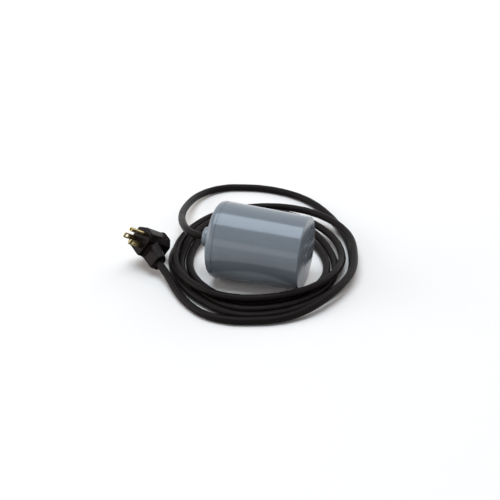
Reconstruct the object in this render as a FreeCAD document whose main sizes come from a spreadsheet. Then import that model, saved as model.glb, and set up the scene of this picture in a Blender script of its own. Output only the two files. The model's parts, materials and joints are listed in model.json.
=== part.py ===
import FreeCAD, Part
import math
import os
import types

import Sketcher

# A tethered float switch for a sump pump, in millimetres and +Z up.
# The float lies on the floor at the origin, its axis along X: cord end at -X, flat end at +X.
# Its cord lies in loose loops on the floor and ends in a piggyback plug.

DRIVING_SIZES = {
    # Float shell
    "float_radius": 43.0,
    "shell_draft": 2.7,
    "float_length": 103.2,
    "wall": 2.6,
    "end_wall": 3.0,
    "end_edge": 2.0,
    "dimple_radius": 3.0,
    "dimple_depth": 0.6,
    # Cap at the cord end, with its shoulder, spigot and seal
    "cap_depth": 9.2,
    "cap_wall": 3.0,
    "shoulder": 8.6,
    "seam_chamfer": 0.4,
    "spigot_length": 6.0,
    "spigot_wall": 3.4,
    "seal_wire_radius": 0.95,
    "seal_place": 12.4,
    # Nub and cord gland
    "nub_radius": 11.0,
    "nub_length": 12.0,
    "nub_edge": 3.5,
    "nub_root": 1.5,
    "nub_end_wall": 2.0,
    "gland_radius": 6.6,
    "well_radius": 11.0,
    "well_wall": 2.0,
    "well_depth": 8.0,
    "gland_ring_length": 3.0,
    "collar_radius": 7.6,
    "collar_length": 2.0,
    "cord_stub": 0.4,
    # Cord
    "cord_diameter": 8.7,
    # Carrier that holds the switch and the ball tube
    "boss_radius": 3.2,
    "boss_length": 11.0,
    "boss_reach": 15.0,
    "pilot_spare": 0.5,
    "flange_radius": 20.0,
    "flange_thickness": 2.5,
    "sleeve_wall": 2.2,
    "collar_wall": 2.6,
    "collar_back": 1.8,
    "collar_grip": 7.0,
    "screw_radius": 1.45,
    "screw_length": 10.0,
    "screw_head_radius": 2.9,
    "screw_head_height": 2.0,
    # Snap switch
    "case_place": 26.0,
    "case_depth": 15.9,
    "case_height": 27.8,
    "case_width": 10.3,
    "case_wall": 1.6,
    "cover_thickness": 1.8,
    "terminal_thickness": 0.8,
    "terminal_width": 5.0,
    "terminal_tail": 5.0,
    "terminal_seat": 0.9,
    "common_overhang": 0.8,
    "switched_drop": 2.2,
    "tab_margin": 0.4,
    "blade_thickness": 0.4,
    "blade_eye_radius": 0.6,
    "blade_width": 4.0,
    "blade_room": 2.6,
    "blade_head_room": 4.2,
    "contact_inset": 1.5,
    "contact_radius": 1.3,
    "contact_height": 0.8,
    "plunger_radius": 1.5,
    "plunger_flange_radius": 2.4,
    "plunger_flange_height": 0.8,
    "plunger_toe": 0.6,
    "plunger_drop": 2.0,
    "plunger_travel": 1.0,
    "wire_radius": 0.9,
    "wire_space": 1.2,
    # Ball, its tube and the trip lever
    "ball_radius": 9.5,
    "ball_clearance": 0.8,
    "tube_wall": 2.2,
    "tube_gap": 2.1,
    "tube_room": 6.2,
    "end_cap_thickness": 2.5,
    "end_cap_spigot": 2.2,
    "lever_reach": 13.0,
    "lever_width": 7.0,
    "lever_thickness": 2.0,
    "lever_eye_radius": 2.2,
    "lever_pin_radius": 1.0,
    "lever_pin_rise": 7.0,
    "lever_setback": 3.2,
    "foam_place": 56.0,
    # Clearances
    "fit_gap": 0.15,
    "run_gap": 0.3,
    "pin_gap": 0.05,
    # Plug block, seen along its prongs: half width, and heights from the line of the flat prongs
    "block_depth": 34.9,
    "block_half": 13.2,
    "block_low": 9.9,
    "block_shoulder": 12.1,
    "block_high": 18.1,
    "block_top_half": 6.0,
    "block_corner": 1.2,
    "block_wall": 2.0,
    "face_plate": 2.0,
    "rear_plate": 2.3,
    # Hood: its section where it leaves the block and at its end
    "hood_set_in": 12.8,
    "hood_length": 34.0,
    "hood_corner": 2.0,
    "hood_top_half": 2.0,
    "hood_root_half": 7.0,
    "hood_root_low": 9.6,
    "hood_root_shoulder": 7.6,
    "hood_root_high": 12.8,
    "hood_end_half": 6.8,
    "hood_end_low": 9.2,
    "hood_end_shoulder": 5.6,
    "hood_end_high": 10.2,
    "sleeve_radius": 5.7,
    "sleeve_length": 9.0,
    "sleeve_recess": 1.5,
    # Prongs and the contacts behind them
    "prong_length": 17.8,
    "prong_width": 6.35,
    "prong_thickness": 1.5,
    "prong_pitch": 12.7,
    "prong_root": 9.0,
    "prong_hole_radius": 1.9,
    "prong_hole_place": 4.1,
    "prong_tip": 1.2,
    "ground_reach": 11.9,
    "ground_radius": 2.4,
    "ground_wall": 0.75,
    "ground_length": 21.0,
    "ground_neck_radius": 2.1,
    "ground_neck": 0.5,
    "ground_slit": 0.9,
    "ground_slit_depth": 8.0,
    "contact_wall": 0.9,
    "contact_break": 1.5,
}

doc = FreeCAD.newDocument("float_switch")
sheet = doc.addObject("Spreadsheet::Sheet", "Sizes")
sheet.Label = "sizes"
for row, (name, amount) in enumerate(DRIVING_SIZES.items(), start=1):
    sheet.set(f"A{row}", name)
    sheet.set(f"B{row}", str(amount))
    sheet.setAlias(f"B{row}", name)
doc.recompute()


class Size:
    """A length with its value and the sheet formula that gives it."""

    def __init__(self, value, formula):
        self.value = float(value)
        self.formula = formula

    def __float__(self):
        return self.value

    def __add__(self, other):
        other = sized(other)
        return Size(self.value + other.value, f"({self.formula} + {other.formula})")

    def __radd__(self, other):
        return sized(other) + self

    def __sub__(self, other):
        other = sized(other)
        return Size(self.value - other.value, f"({self.formula} - {other.formula})")

    def __rsub__(self, other):
        return sized(other) - self

    def __mul__(self, other):
        other = sized(other)
        return Size(self.value * other.value, f"({self.formula} * {other.formula})")

    def __rmul__(self, other):
        return sized(other) * self

    def __truediv__(self, other):
        other = sized(other)
        return Size(self.value / other.value, f"({self.formula} / {other.formula})")

    def __neg__(self):
        return 0.0 - self


def sized(amount):
    """A plain number as a Size."""
    if isinstance(amount, Size):
        return amount
    return Size(amount, f"({float(amount)})")


def bind(thing, prop, amount):
    """Tie a property to its formula."""
    thing.setExpression(prop, sized(amount).formula)


d = types.SimpleNamespace()
for name in DRIVING_SIZES:
    setattr(d, name, Size(sheet.get(name), f"sizes.{name}"))

X_AXIS = FreeCAD.Vector(1, 0, 0)
Y_AXIS = FreeCAD.Vector(0, 1, 0)
Z_AXIS = FreeCAD.Vector(0, 0, 1)
STRAIGHT = FreeCAD.Rotation()
ALONG_X = FreeCAD.Rotation(Y_AXIS, 90)
ALONG_Y = FreeCAD.Rotation(X_AXIS, -90)

# How far a cutting solid runs past the faces it cuts, and a joined one into what it stands on
PAST = 1.0
SUNK = 0.5

nodes = []


def node(label, thing, place):
    """Name a finished sub-part and put it in its place."""
    thing.Label = label
    thing.Placement = place.multiply(thing.Placement)
    nodes.append(thing)
    return thing


def shift(x, y, z, turn=STRAIGHT):
    """A placement from three lengths and a turn."""
    return FreeCAD.Placement(FreeCAD.Vector(float(x), float(y), float(z)), turn)


# Solids that the sub-parts are cut and joined from

def box(x0, x1, y0, y1, z0, z1):
    """A box between six planes."""
    solid = doc.addObject("Part::Box", "Block")
    bind(solid, "Length", sized(x1) - x0)
    bind(solid, "Width", sized(y1) - y0)
    bind(solid, "Height", sized(z1) - z0)
    bind(solid, "Placement.Base.x", x0)
    bind(solid, "Placement.Base.y", y0)
    bind(solid, "Placement.Base.z", z0)
    return solid


def rod(start, end, radius, y=0.0, z=0.0):
    """A round bar along X."""
    solid = doc.addObject("Part::Cylinder", "Rod")
    bind(solid, "Radius", radius)
    bind(solid, "Height", sized(end) - start)
    solid.Placement = shift(0, 0, 0, ALONG_X)
    bind(solid, "Placement.Base.x", start)
    bind(solid, "Placement.Base.y", y)
    bind(solid, "Placement.Base.z", z)
    return solid


def cross_rod(start, end, radius, x=0.0, z=0.0):
    """A round bar along Y."""
    solid = doc.addObject("Part::Cylinder", "CrossRod")
    bind(solid, "Radius", radius)
    bind(solid, "Height", sized(end) - start)
    solid.Placement = shift(0, 0, 0, ALONG_Y)
    bind(solid, "Placement.Base.x", x)
    bind(solid, "Placement.Base.y", start)
    bind(solid, "Placement.Base.z", z)
    return solid


def joined(*solids):
    """Several solids as one piece."""
    whole = doc.addObject("Part::MultiFuse", "Joined")
    whole.Shapes = list(solids)
    return whole


def cut(base, *tools):
    """A solid with one or more others taken away."""
    left = doc.addObject("Part::Cut", "Cut")
    left.Base = base
    left.Tool = tools[0] if len(tools) == 1 else joined(*tools)
    return left


def origin_plane(body, role):
    """One of a body's own origin planes."""
    return next(plane for plane in body.Origin.OriginFeatures if plane.Role == role)


def outline_sketch(body, role, outline):
    """A closed outline of straight edges, every corner held by its two lengths."""
    sketch = body.newObject("Sketcher::SketchObject", "Outline")
    sketch.AttachmentSupport = (origin_plane(body, role), [""])
    sketch.MapMode = "FlatFace"
    corners = [FreeCAD.Vector(float(x), float(y), 0) for x, y in outline]
    count = len(corners)
    for index, corner in enumerate(corners):
        sketch.addGeometry(Part.LineSegment(corner, corners[(index + 1) % count]))
    for index in range(count):
        sketch.addConstraint(Sketcher.Constraint("Coincident", index, 2, (index + 1) % count, 1))
    for index, corner in enumerate(outline):
        for kind, amount in zip(("DistanceX", "DistanceY"), corner):
            limit = Sketcher.Constraint(kind, -1, 1, index, 1, float(amount))
            number = sketch.addConstraint(limit)
            bind(sketch, f"Constraints[{number}]", amount)
    return sketch


def turned(outline):
    """A body turned about X from an outline of places along X and radii."""
    body = doc.addObject("PartDesign::Body", "Turned")
    sketch = outline_sketch(body, "XZ_Plane", outline)
    turn = body.newObject("PartDesign::Revolution", "Turn")
    turn.Profile = sketch
    turn.ReferenceAxis = (sketch, ["H_Axis"])
    turn.Angle = 360
    body.Tip = turn
    return body


def prism(outline, start, length, role="YZ_Plane"):
    """A body padded from an outline, from a start along the plane's normal."""
    body = doc.addObject("PartDesign::Body", "Prism")
    sketch = outline_sketch(body, role, outline)
    bind(sketch, "AttachmentOffset.Base.z", start)
    pad = body.newObject("PartDesign::Pad", "Pad")
    pad.Profile = sketch
    bind(pad, "Length", length)
    body.Tip = pad
    return body


def round_edge(body, x, edge_radius, rounding):
    """Round the circular edge of a turned body that lies at a place and has a radius."""
    doc.recompute()
    base = body.Tip
    names = []
    for index, edge in enumerate(base.Shape.Edges, start=1):
        if not isinstance(edge.Curve, Part.Circle):
            continue
        same_place = abs(edge.Curve.Center.x - float(x)) < 1e-4
        same_radius = abs(edge.Curve.Radius - float(edge_radius)) < 1e-4
        if same_place and same_radius:
            names.append(f"Edge{index}")
    feature = body.newObject("PartDesign::Fillet", "Rounding")
    feature.Base = (base, names)
    bind(feature, "Radius", rounding)
    body.Tip = feature


def round_pads(body, reach, radius, start, length, kind):
    """Two round posts or holes along X, one on each side of the axis."""
    sketch = body.newObject("Sketcher::SketchObject", "Rounds")
    sketch.AttachmentSupport = (origin_plane(body, "YZ_Plane"), [""])
    sketch.MapMode = "FlatFace"
    bind(sketch, "AttachmentOffset.Base.z", start)
    for index, side in enumerate((-1, 1)):
        centre = FreeCAD.Vector(side * float(reach), 0, 0)
        sketch.addGeometry(Part.Circle(centre, Z_AXIS, float(radius)))
        sketch.addConstraint(Sketcher.Constraint("PointOnObject", index, 3, -1))
        across = sketch.addConstraint(Sketcher.Constraint("DistanceX", -1, 1, index, 3, side * float(reach)))
        bind(sketch, f"Constraints[{across}]", side * reach)
        size = sketch.addConstraint(Sketcher.Constraint("Radius", index, float(radius)))
        bind(sketch, f"Constraints[{size}]", radius)
    feature = body.newObject(kind, "Rounds")
    feature.Profile = sketch
    bind(feature, "Length", length)
    feature.Reversed = kind == "PartDesign::Pocket"
    body.Tip = feature


# The float lies on the side of its slightly tapered shell, so its axis leans down to the flat end

cord_radius = d.cord_diameter / 2
taper = d.shell_draft / (d.float_length - d.cap_depth)
flat_end_radius = d.float_radius - d.shell_draft
lean = math.atan(float(taper))


def shell_bore(place):
    """The shell's inner radius at a place along its axis."""
    return d.float_radius - d.wall - taper * (place - d.cap_depth)


axis_height = float(d.float_radius) * math.cos(lean) + float(d.cap_depth) * math.sin(lean)


def reach(length, radius, rounding):
    """How far the leaning float's rounded rim reaches along X."""
    along = float(length - rounding) * math.cos(lean)
    return along + float(radius - rounding) * math.sin(lean) + float(rounding)


flat_end_x = reach(d.float_length, flat_end_radius, d.end_edge)
nub_end_x = -reach(d.nub_length, d.nub_radius, d.nub_edge)
float_middle = (flat_end_x + nub_end_x) / 2
LEAN = FreeCAD.Rotation(Y_AXIS, math.degrees(lean))


def float_place():
    """Where the float's own frame stands: its cap's face centre, X along its axis."""
    return shift(-float_middle, 0, axis_height, LEAN)


# Float shell

def make_float_body():
    """Tapered cup with a flat end, a rounded rim and a moulding dimple."""
    end = d.float_length
    body = turned([
        (d.cap_depth, d.float_radius - d.seam_chamfer),
        (d.cap_depth + d.seam_chamfer, d.float_radius - taper * d.seam_chamfer),
        (end, flat_end_radius),
        (end, d.dimple_radius),
        (end - d.dimple_depth, d.dimple_radius),
        (end - d.dimple_depth, 0.0),
        (end - d.end_wall, 0.0),
        (end - d.end_wall, shell_bore(end - d.end_wall)),
        (d.cap_depth, shell_bore(d.cap_depth)),
    ])
    round_edge(body, end, flat_end_radius, d.end_edge)
    node("float_body", body, float_place())


spigot_end = d.cap_depth + d.spigot_length
spigot_radius = shell_bore(spigot_end) - d.fit_gap
seal_radius = spigot_radius - d.seal_wire_radius
groove_half = d.seal_wire_radius + d.fit_gap
well_end = d.cap_wall + d.well_depth
boss_end = d.cap_wall + d.boss_length
cord_bore = cord_radius + d.fit_gap
nub_inner_end = d.nub_end_wall - d.nub_length


def make_float_cap():
    """Cap with a round shoulder, the nub for the cord, a spigot, a potting well and two bosses."""
    body = turned([
        (-d.nub_length, cord_bore),
        (-d.nub_length, d.nub_radius),
        (0.0, d.nub_radius),
        (0.0, d.float_radius),
        (d.cap_depth - d.seam_chamfer, d.float_radius),
        (d.cap_depth, d.float_radius - d.seam_chamfer),
        (d.cap_depth, spigot_radius),
        (d.seal_place - groove_half, spigot_radius),
        (d.seal_place - groove_half, seal_radius - groove_half),
        (d.seal_place + groove_half, seal_radius - groove_half),
        (d.seal_place + groove_half, spigot_radius),
        (spigot_end, spigot_radius),
        (spigot_end, spigot_radius - d.spigot_wall),
        (d.cap_wall, spigot_radius - d.spigot_wall),
        (d.cap_wall, d.well_radius + d.well_wall),
        (well_end, d.well_radius + d.well_wall),
        (well_end, d.well_radius),
        (d.cap_wall, d.well_radius),
        (d.cap_wall, d.gland_radius),
        (nub_inner_end, d.gland_radius),
        (nub_inner_end, cord_bore),
    ])
    round_edge(body, -d.nub_length, d.nub_radius, d.nub_edge)
    round_edge(body, 0.0, d.nub_radius, d.nub_root)
    round_edge(body, 0.0, d.float_radius, d.shoulder)
    round_pads(body, d.boss_reach, d.boss_radius, d.cap_wall - SUNK, d.boss_length + SUNK, "PartDesign::Pad")
    pilot = d.screw_length - d.flange_thickness + d.pilot_spare
    round_pads(body, d.boss_reach, d.screw_radius + d.pin_gap, boss_end - pilot, pilot, "PartDesign::Pocket")
    node("float_cap", body, float_place())


def make_cap_seal():
    """Round rubber ring in the spigot's groove."""
    ring = doc.addObject("Part::Torus", "Ring")
    bind(ring, "Radius1", seal_radius)
    bind(ring, "Radius2", d.seal_wire_radius)
    ring.Placement = shift(d.seal_place, 0, 0, ALONG_X)
    node("cap_seal", ring, float_place())


# Cord gland: grommet, ring, potting, collar and the cord's inner end

gland_ring_end = d.cap_wall + d.gland_ring_length
collar_end = well_end + d.collar_length
cord_inner_end = collar_end + d.cord_stub


def sleeve_outline(start, end, inner, outer):
    """The outline of a plain ring about the X axis."""
    return [(start, inner), (start, outer), (end, outer), (end, inner)]


def make_gland():
    """The pieces round the cord where it enters the cap."""
    hold = cord_radius + d.pin_gap
    grommet = sleeve_outline(nub_inner_end, d.cap_wall, hold, d.gland_radius - d.pin_gap)
    node("cord_grommet", turned(grommet), float_place())
    ring = sleeve_outline(d.cap_wall, gland_ring_end, hold, d.well_radius - d.pin_gap)
    node("gland_ring", turned(ring), float_place())
    potting = sleeve_outline(gland_ring_end, well_end, hold, d.well_radius - d.pin_gap)
    node("potting_plug", turned(potting), float_place())
    collar = sleeve_outline(well_end, collar_end, hold, d.collar_radius)
    node("cord_collar", turned(collar), float_place())
    inner_cord = doc.addObject("Part::Cylinder", "InnerCord")
    bind(inner_cord, "Radius", cord_radius)
    bind(inner_cord, "Height", cord_inner_end + d.nub_length)
    inner_cord.Placement = shift(-d.nub_length, 0, 0, ALONG_X)
    node("cord_inside", inner_cord, float_place())


# Carrier, ball tube and ball

case_end = d.case_place + d.case_depth
tube_start = case_end + d.tube_gap
tube_end = d.float_length - d.end_wall - d.tube_room
tube_bore = d.ball_radius + d.ball_clearance
tube_radius = tube_bore + d.tube_wall
flange_end = boss_end + d.flange_thickness
sleeve_y = d.case_width / 2 + d.fit_gap
sleeve_z = d.case_height / 2 + d.fit_gap
pin_x = tube_start + d.lever_setback
ball_drop = d.ball_clearance - d.run_gap
end_cap_face = tube_end - d.end_cap_spigot
ball_rest = end_cap_face - d.run_gap - d.ball_radius


def make_carrier():
    """Flanged frame on the cap's bosses: a sleeve for the switch, then a collar for the tube."""
    flange = rod(boss_end, flange_end, d.flange_radius)
    sleeve = box(
        flange_end - SUNK, tube_start + SUNK,
        -(sleeve_y + d.sleeve_wall), sleeve_y + d.sleeve_wall,
        -(sleeve_z + d.sleeve_wall), sleeve_z + d.sleeve_wall)
    collar_outer = tube_radius + d.fit_gap + d.collar_wall
    collar = rod(tube_start - d.collar_back, tube_start + d.collar_grip, collar_outer)
    hollow = box(boss_end - PAST, tube_start, -sleeve_y, sleeve_y, -sleeve_z, sleeve_z)
    seat = rod(tube_start, tube_start + d.collar_grip + PAST, tube_radius + d.fit_gap)
    hole = d.screw_radius + d.fit_gap
    holes = [rod(boss_end - PAST, flange_end + PAST, hole, side * d.boss_reach) for side in (-1, 1)]
    carrier = cut(joined(flange, sleeve, collar), hollow, seat, *holes)
    node("switch_carrier", carrier, float_place())
    screws = []
    for side in (-1, 1):
        reach = side * d.boss_reach
        screws.append(rod(flange_end - d.screw_length, flange_end + SUNK, d.screw_radius, reach))
        screws.append(rod(flange_end, flange_end + d.screw_head_height, d.screw_head_radius, reach))
    node("carrier_screws", joined(*screws), float_place())


def make_tube():
    """Tube that the ball rolls in, with pin holes, and the cap on its far end."""
    outer = rod(tube_start, tube_end, tube_radius)
    bore = rod(tube_start - PAST, tube_end + PAST, tube_bore)
    pin_hole = cross_rod(-tube_radius, tube_radius, d.lever_pin_radius + d.pin_gap, pin_x, d.lever_pin_rise)
    node("ball_tube", cut(outer, bore, pin_hole), float_place())
    end_cap = turned([
        (end_cap_face, 0.0),
        (end_cap_face, tube_bore - d.fit_gap),
        (tube_end, tube_bore - d.fit_gap),
        (tube_end, tube_radius),
        (tube_end + d.end_cap_thickness, tube_radius),
        (tube_end + d.end_cap_thickness, 0.0),
    ])
    node("tube_end_cap", end_cap, float_place())
    ball = doc.addObject("Part::Sphere", "Ball")
    bind(ball, "Radius", d.ball_radius)
    ball.Placement = shift(ball_rest, 0, -ball_drop)
    node("steel_ball", ball, float_place())


# Trip lever, modelled about its pin, leaning towards the ball when at rest

LEVER_SWING = 12.0


def make_lever():
    """Lever with a hinge eye, and the pin that carries it across the tube."""
    half = d.lever_width / 2
    eye = cross_rod(-half, half, d.lever_eye_radius)
    arm = box(-(d.lever_thickness / 2), d.lever_thickness / 2, -half, half, -d.lever_reach, 0.0)
    hole = cross_rod(-half - PAST, half + PAST, d.lever_pin_radius + d.pin_gap)
    lean_out = FreeCAD.Rotation(Y_AXIS, -LEVER_SWING)
    hinge = float_place().multiply(shift(pin_x, 0, d.lever_pin_rise, lean_out))
    node("trip_lever", cut(joined(eye, arm), hole), hinge)
    pin = doc.addObject("Part::Cylinder", "Pin")
    pin_half = tube_bore - d.lever_pin_radius
    bind(pin, "Radius", d.lever_pin_radius)
    bind(pin, "Height", pin_half * 2)
    pin.Placement = shift(pin_x, -pin_half, d.lever_pin_rise, ALONG_Y)
    node("lever_pin", pin, float_place())


# Snap switch

case_half_y = d.case_width / 2
case_half_z = d.case_height / 2
cavity_start = d.case_place + d.case_wall
cavity_end = case_end - d.case_wall
cavity_half_z = case_half_z - d.case_wall
cover_inner = case_half_y - d.cover_thickness
blade_face = cavity_end - d.blade_room
blade_back = blade_face - d.blade_thickness
common_top = -(cavity_half_z - d.terminal_seat - d.terminal_thickness)
blade_head = cavity_half_z - d.blade_head_room
contact_z = blade_head - d.contact_inset
blade_pivot_z = common_top + d.run_gap + d.blade_eye_radius
contact_swing = d.plunger_travel * (contact_z - blade_pivot_z) / (-d.plunger_drop - blade_pivot_z)
fixed_contact = blade_back - d.contact_height - contact_swing - d.run_gap
switched_low = cavity_half_z - d.switched_drop
tail_start = d.case_place - d.terminal_tail
terminal_half = d.terminal_width / 2


def make_switch():
    """Case, cover, two terminals, snap blade and plunger."""
    case = box(d.case_place, case_end, -case_half_y, cover_inner, -case_half_z, case_half_z)
    cavity = box(
        cavity_start, cavity_end,
        -(case_half_y - d.case_wall), cover_inner + PAST,
        -cavity_half_z, cavity_half_z)
    plunger_bore = rod(cavity_end - PAST, case_end + PAST, d.plunger_radius + d.run_gap, 0.0, -d.plunger_drop)
    slots = []
    for low in (common_top - d.terminal_thickness, switched_low):
        slots.append(box(
            d.case_place - PAST, cavity_start + PAST,
            -(terminal_half + d.pin_gap), terminal_half + d.pin_gap,
            low - d.pin_gap, low + d.terminal_thickness + d.pin_gap))
    node("switch_case", cut(case, cavity, plunger_bore, *slots), float_place())
    cover = prism([
        (cover_inner, -case_half_z),
        (case_half_y, -case_half_z),
        (case_half_y, case_half_z),
        (cover_inner, case_half_z),
    ], d.case_place, d.case_depth)
    node("switch_cover", cover, float_place())
    common = prism([
        (-terminal_half, common_top - d.terminal_thickness),
        (terminal_half, common_top - d.terminal_thickness),
        (terminal_half, common_top),
        (-terminal_half, common_top),
    ], tail_start, blade_face + d.common_overhang - tail_start)
    node("terminal_common", common, float_place())
    strip = box(
        tail_start, fixed_contact, -terminal_half, terminal_half,
        switched_low, switched_low + d.terminal_thickness)
    tab = box(
        fixed_contact - d.terminal_thickness, fixed_contact, -terminal_half, terminal_half,
        contact_z - d.contact_radius - d.tab_margin, switched_low + d.terminal_thickness / 2)
    node("terminal_switched", joined(strip, tab), float_place())
    blade_half = d.blade_width / 2
    leaf = box(blade_back, blade_face, -blade_half, blade_half, blade_pivot_z, blade_head)
    blade_middle = blade_back + d.blade_thickness / 2
    eye = cross_rod(-blade_half, blade_half, d.blade_eye_radius, blade_middle, blade_pivot_z)
    button_start = blade_back - d.contact_height
    button = rod(button_start, blade_middle, d.contact_radius, 0.0, contact_z)
    node("snap_blade", joined(leaf, eye, button), float_place())
    stem_start = blade_face + d.run_gap
    stem_end = pin_x - d.lever_thickness / 2 - d.run_gap + d.plunger_travel
    stem = rod(stem_start, stem_end, d.plunger_radius, 0.0, -d.plunger_drop)
    flange_start = stem_start + d.plunger_toe
    flange = rod(
        flange_start, flange_start + d.plunger_flange_height,
        d.plunger_flange_radius, 0.0, -d.plunger_drop)
    node("plunger", joined(stem, flange), float_place())


def make_foam():
    """Ring of closed-cell foam that fills the shell round the tube."""
    end = d.float_length - d.end_wall - d.run_gap
    foam = turned([
        (d.foam_place, tube_radius + d.run_gap),
        (d.foam_place, shell_bore(d.foam_place) - d.run_gap),
        (end, shell_bore(end) - d.run_gap),
        (end, tube_radius + d.run_gap),
    ])
    node("foam_core", foam, float_place())


# Tubes along a route of straight runs joined by arcs

def tube_route(points):
    """The edges of a route, each corner rounded by the largest arc that its two runs allow."""
    edges = []
    radii = []
    start = points[0]
    for before, corner, after in zip(points, points[1:], points[2:]):
        inward = (corner - before).normalize()
        onward = (after - corner).normalize()
        shorter = min((corner - before).Length, (after - corner).Length)
        reach = 0.45 * shorter
        half_turn = inward.getAngle(onward) / 2
        radii.append(reach / math.tan(half_turn))
        first = corner - inward * reach
        last = corner + onward * reach
        middle = (first + last) * 0.5
        sagitta = (last - first).Length / 2 * math.tan(half_turn / 2)
        crown = middle + (corner - middle).normalize() * sagitta
        edges.append(Part.LineSegment(start, first).toShape())
        edges.append(Part.Arc(first, crown, last).toShape())
        start = last
    edges.append(Part.LineSegment(start, points[-1]).toShape())
    return edges, radii


def sweep_round(edges, radius):
    """A round tube along a route of edges."""
    route = Part.Wire(edges)
    begin = edges[0].valueAt(edges[0].FirstParameter)
    heading = edges[0].tangentAt(edges[0].FirstParameter)
    section = Part.Wire(Part.makeCircle(radius, begin, heading))
    tube = route.makePipeShell([section], True, False)
    expected = math.pi * radius ** 2 * route.Length
    print(f"tube of {route.Length:.1f} mm, volume {tube.Volume:.0f} of {expected:.0f}")
    return tube


def tube_node(label, edges, radius):
    """A tube as a sub-part that already stands in the part's frame."""
    feature = doc.addObject("Part::Feature", "Tube")
    feature.Shape = sweep_round(edges, radius)
    node(label, feature, FreeCAD.Placement())


# A wire leaves and arrives straight, then climbs a share of its rise by its bend
WIRE_STRAIGHT = 2.0
WIRE_BEND = 3.6
WIRE_SHARE = 0.3


def make_wires():
    """Two wires from the cord's inner end to the terminals' tails."""
    side = float(d.wire_radius + d.wire_space / 2)
    start = float(cord_inner_end)
    end = float(tail_start)
    common_z = float(common_top - d.terminal_thickness / 2)
    switched_z = float(switched_low + d.terminal_thickness / 2)
    place = float_place()
    for label, low, high in (("wire_common", -side, common_z), ("wire_switched", side, switched_z)):
        local = [
            FreeCAD.Vector(start, 0, low),
            FreeCAD.Vector(start + WIRE_STRAIGHT, 0, low),
            FreeCAD.Vector(start + WIRE_BEND, 0, low + WIRE_SHARE * (high - low)),
            FreeCAD.Vector(end - WIRE_BEND, 0, high - WIRE_SHARE * (high - low)),
            FreeCAD.Vector(end - WIRE_STRAIGHT, 0, high),
            FreeCAD.Vector(end, 0, high),
        ]
        edges, radii = tube_route([place.multVec(point) for point in local])
        tube_node(label, edges, float(d.wire_radius))


# The cord's route, in the floor frame of the loops: X across, Y away, both through the loops' middle.
# That frame is turned from the float's by the angle at which the float lies in its loops.

LAYOUT_TURN = 17.03
LAYOUT_MIDDLE = FreeCAD.Vector(5.86, -67.4, 0)
FLOOR = float(cord_radius) + 0.05
UPPER = FLOOR + float(d.cord_diameter) + 0.47


def layout_place():
    """The loops' floor frame, seen from the part's frame."""
    turn = FreeCAD.Rotation(Z_AXIS, LAYOUT_TURN)
    return FreeCAD.Placement(turn.multVec(LAYOUT_MIDDLE * -1), turn)


# Every station of the coil is x, y, height and heading in degrees from X
COIL_STATIONS = [
    # First loop, on the floor
    (-12.0, 165.0, FLOOR, 0),
    (116.8, -18.0, FLOOR, -90),
    (103.2, -82.8, FLOOR, -120),
    (0.0, -154.0, FLOOR, 180),
    (-60.0, -113.0, FLOOR, 128),
    (-88.6, -30.0, FLOOR, 93),
    # Second loop, the innermost
    (8.0, 54.0, FLOOR, 0),
    (86.3, -47.0, FLOOR, -90),
    (0.0, -129.6, FLOOR, 180),
    (-47.5, -97.0, FLOOR, 127),
    (-68.0, -42.0, FLOOR, 94),
    (-38.0, 36.0, UPPER, 46),
    # Third loop, over the first at the back
    (12.0, 63.0, UPPER, 0),
    (95.9, -46.0, FLOOR, -90),
    (0.0, -141.5, FLOOR, 180),
    (-54.0, -104.5, FLOOR, 127),
    (-77.4, -44.0, FLOOR, 96),
    (-67.2, 8.0, UPPER, 71),
    # Fourth loop, over the second and third in front
    (10.0, 74.0, UPPER, 0),
    (104.4, -30.0, 9.6, -91),
    (92.0, -80.0, UPPER, -118),
    (0.0, -134.0, UPPER, 180),
    (-84.6, -36.0, UPPER, 90),
    # Last half loop, over the first and down to the floor in front
    (24.0, 91.0, UPPER, -1),
    (118.3, -14.0, UPPER, -90),
    (107.5, -86.0, 13.4, -113),
    (5.0, -163.8, FLOOR, 180),
]

# The free stretch from the float's nub to the coil: its first point is the nub's end
LEAD_POINTS = [
    (-69.0, -36.0, 43.0),
    (-75.7, -12.0, 38.5),
    (-80.3, 22.0, 30.0),
    (-80.8, 60.0, 21.5),
    (-76.0, 98.0, 13.5),
    (-68.0, 129.0, 8.2),
    (-52.0, 153.0, 5.2),
    (-30.0, 165.0, FLOOR),
    (-12.0, 165.0, FLOOR),
]
LEAD_FIRST_RUN = 12.0

# The free stretch from the coil to the plug: its last point is the plug's hood
TAIL_POINTS = [
    (5.0, -163.8, FLOOR),
    (-20.0, -163.8, FLOOR),
    (-47.0, -153.5, FLOOR),
    (-67.0, -129.0, FLOOR),
    (-79.6, -104.0, 5.6),
    (-88.5, -82.0, 8.8),
]
TAIL_LAST_RUN = 12.0


def biarc(begin, heading, end, last_heading):
    """Two arcs that leave one station and reach the next along their headings."""
    span = end - begin
    both = heading + last_heading
    across = 2 * (1 - heading.dot(last_heading))
    along = span.dot(both)
    reach = (math.sqrt(along ** 2 + across * span.dot(span)) - along) / across
    first_corner = begin + heading * reach
    last_corner = end - last_heading * reach
    joint = (first_corner + last_corner) * 0.5
    arcs = []
    for start, corner, stop in ((begin, first_corner, joint), (joint, last_corner, end)):
        chord = stop - start
        half_turn = chord.getAngle(corner - start)
        middle = (start + stop) * 0.5
        sagitta = chord.Length / 2 * math.tan(half_turn / 2)
        crown = middle + (corner - middle).normalize() * sagitta
        arcs.append(Part.Arc(start, crown, stop))
    return arcs


def coil_arcs(place):
    """The coil's arcs from station to station."""
    stations = []
    for x, y, z, degrees in COIL_STATIONS:
        angle = math.radians(degrees)
        heading = FreeCAD.Vector(math.cos(angle), math.sin(angle), 0)
        stations.append((place.multVec(FreeCAD.Vector(x, y, z)), place.Rotation.multVec(heading)))
    arcs = []
    for (begin, heading), (end, last_heading) in zip(stations, stations[1:]):
        arcs.extend(biarc(begin, heading, end, last_heading))
    return arcs


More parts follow.
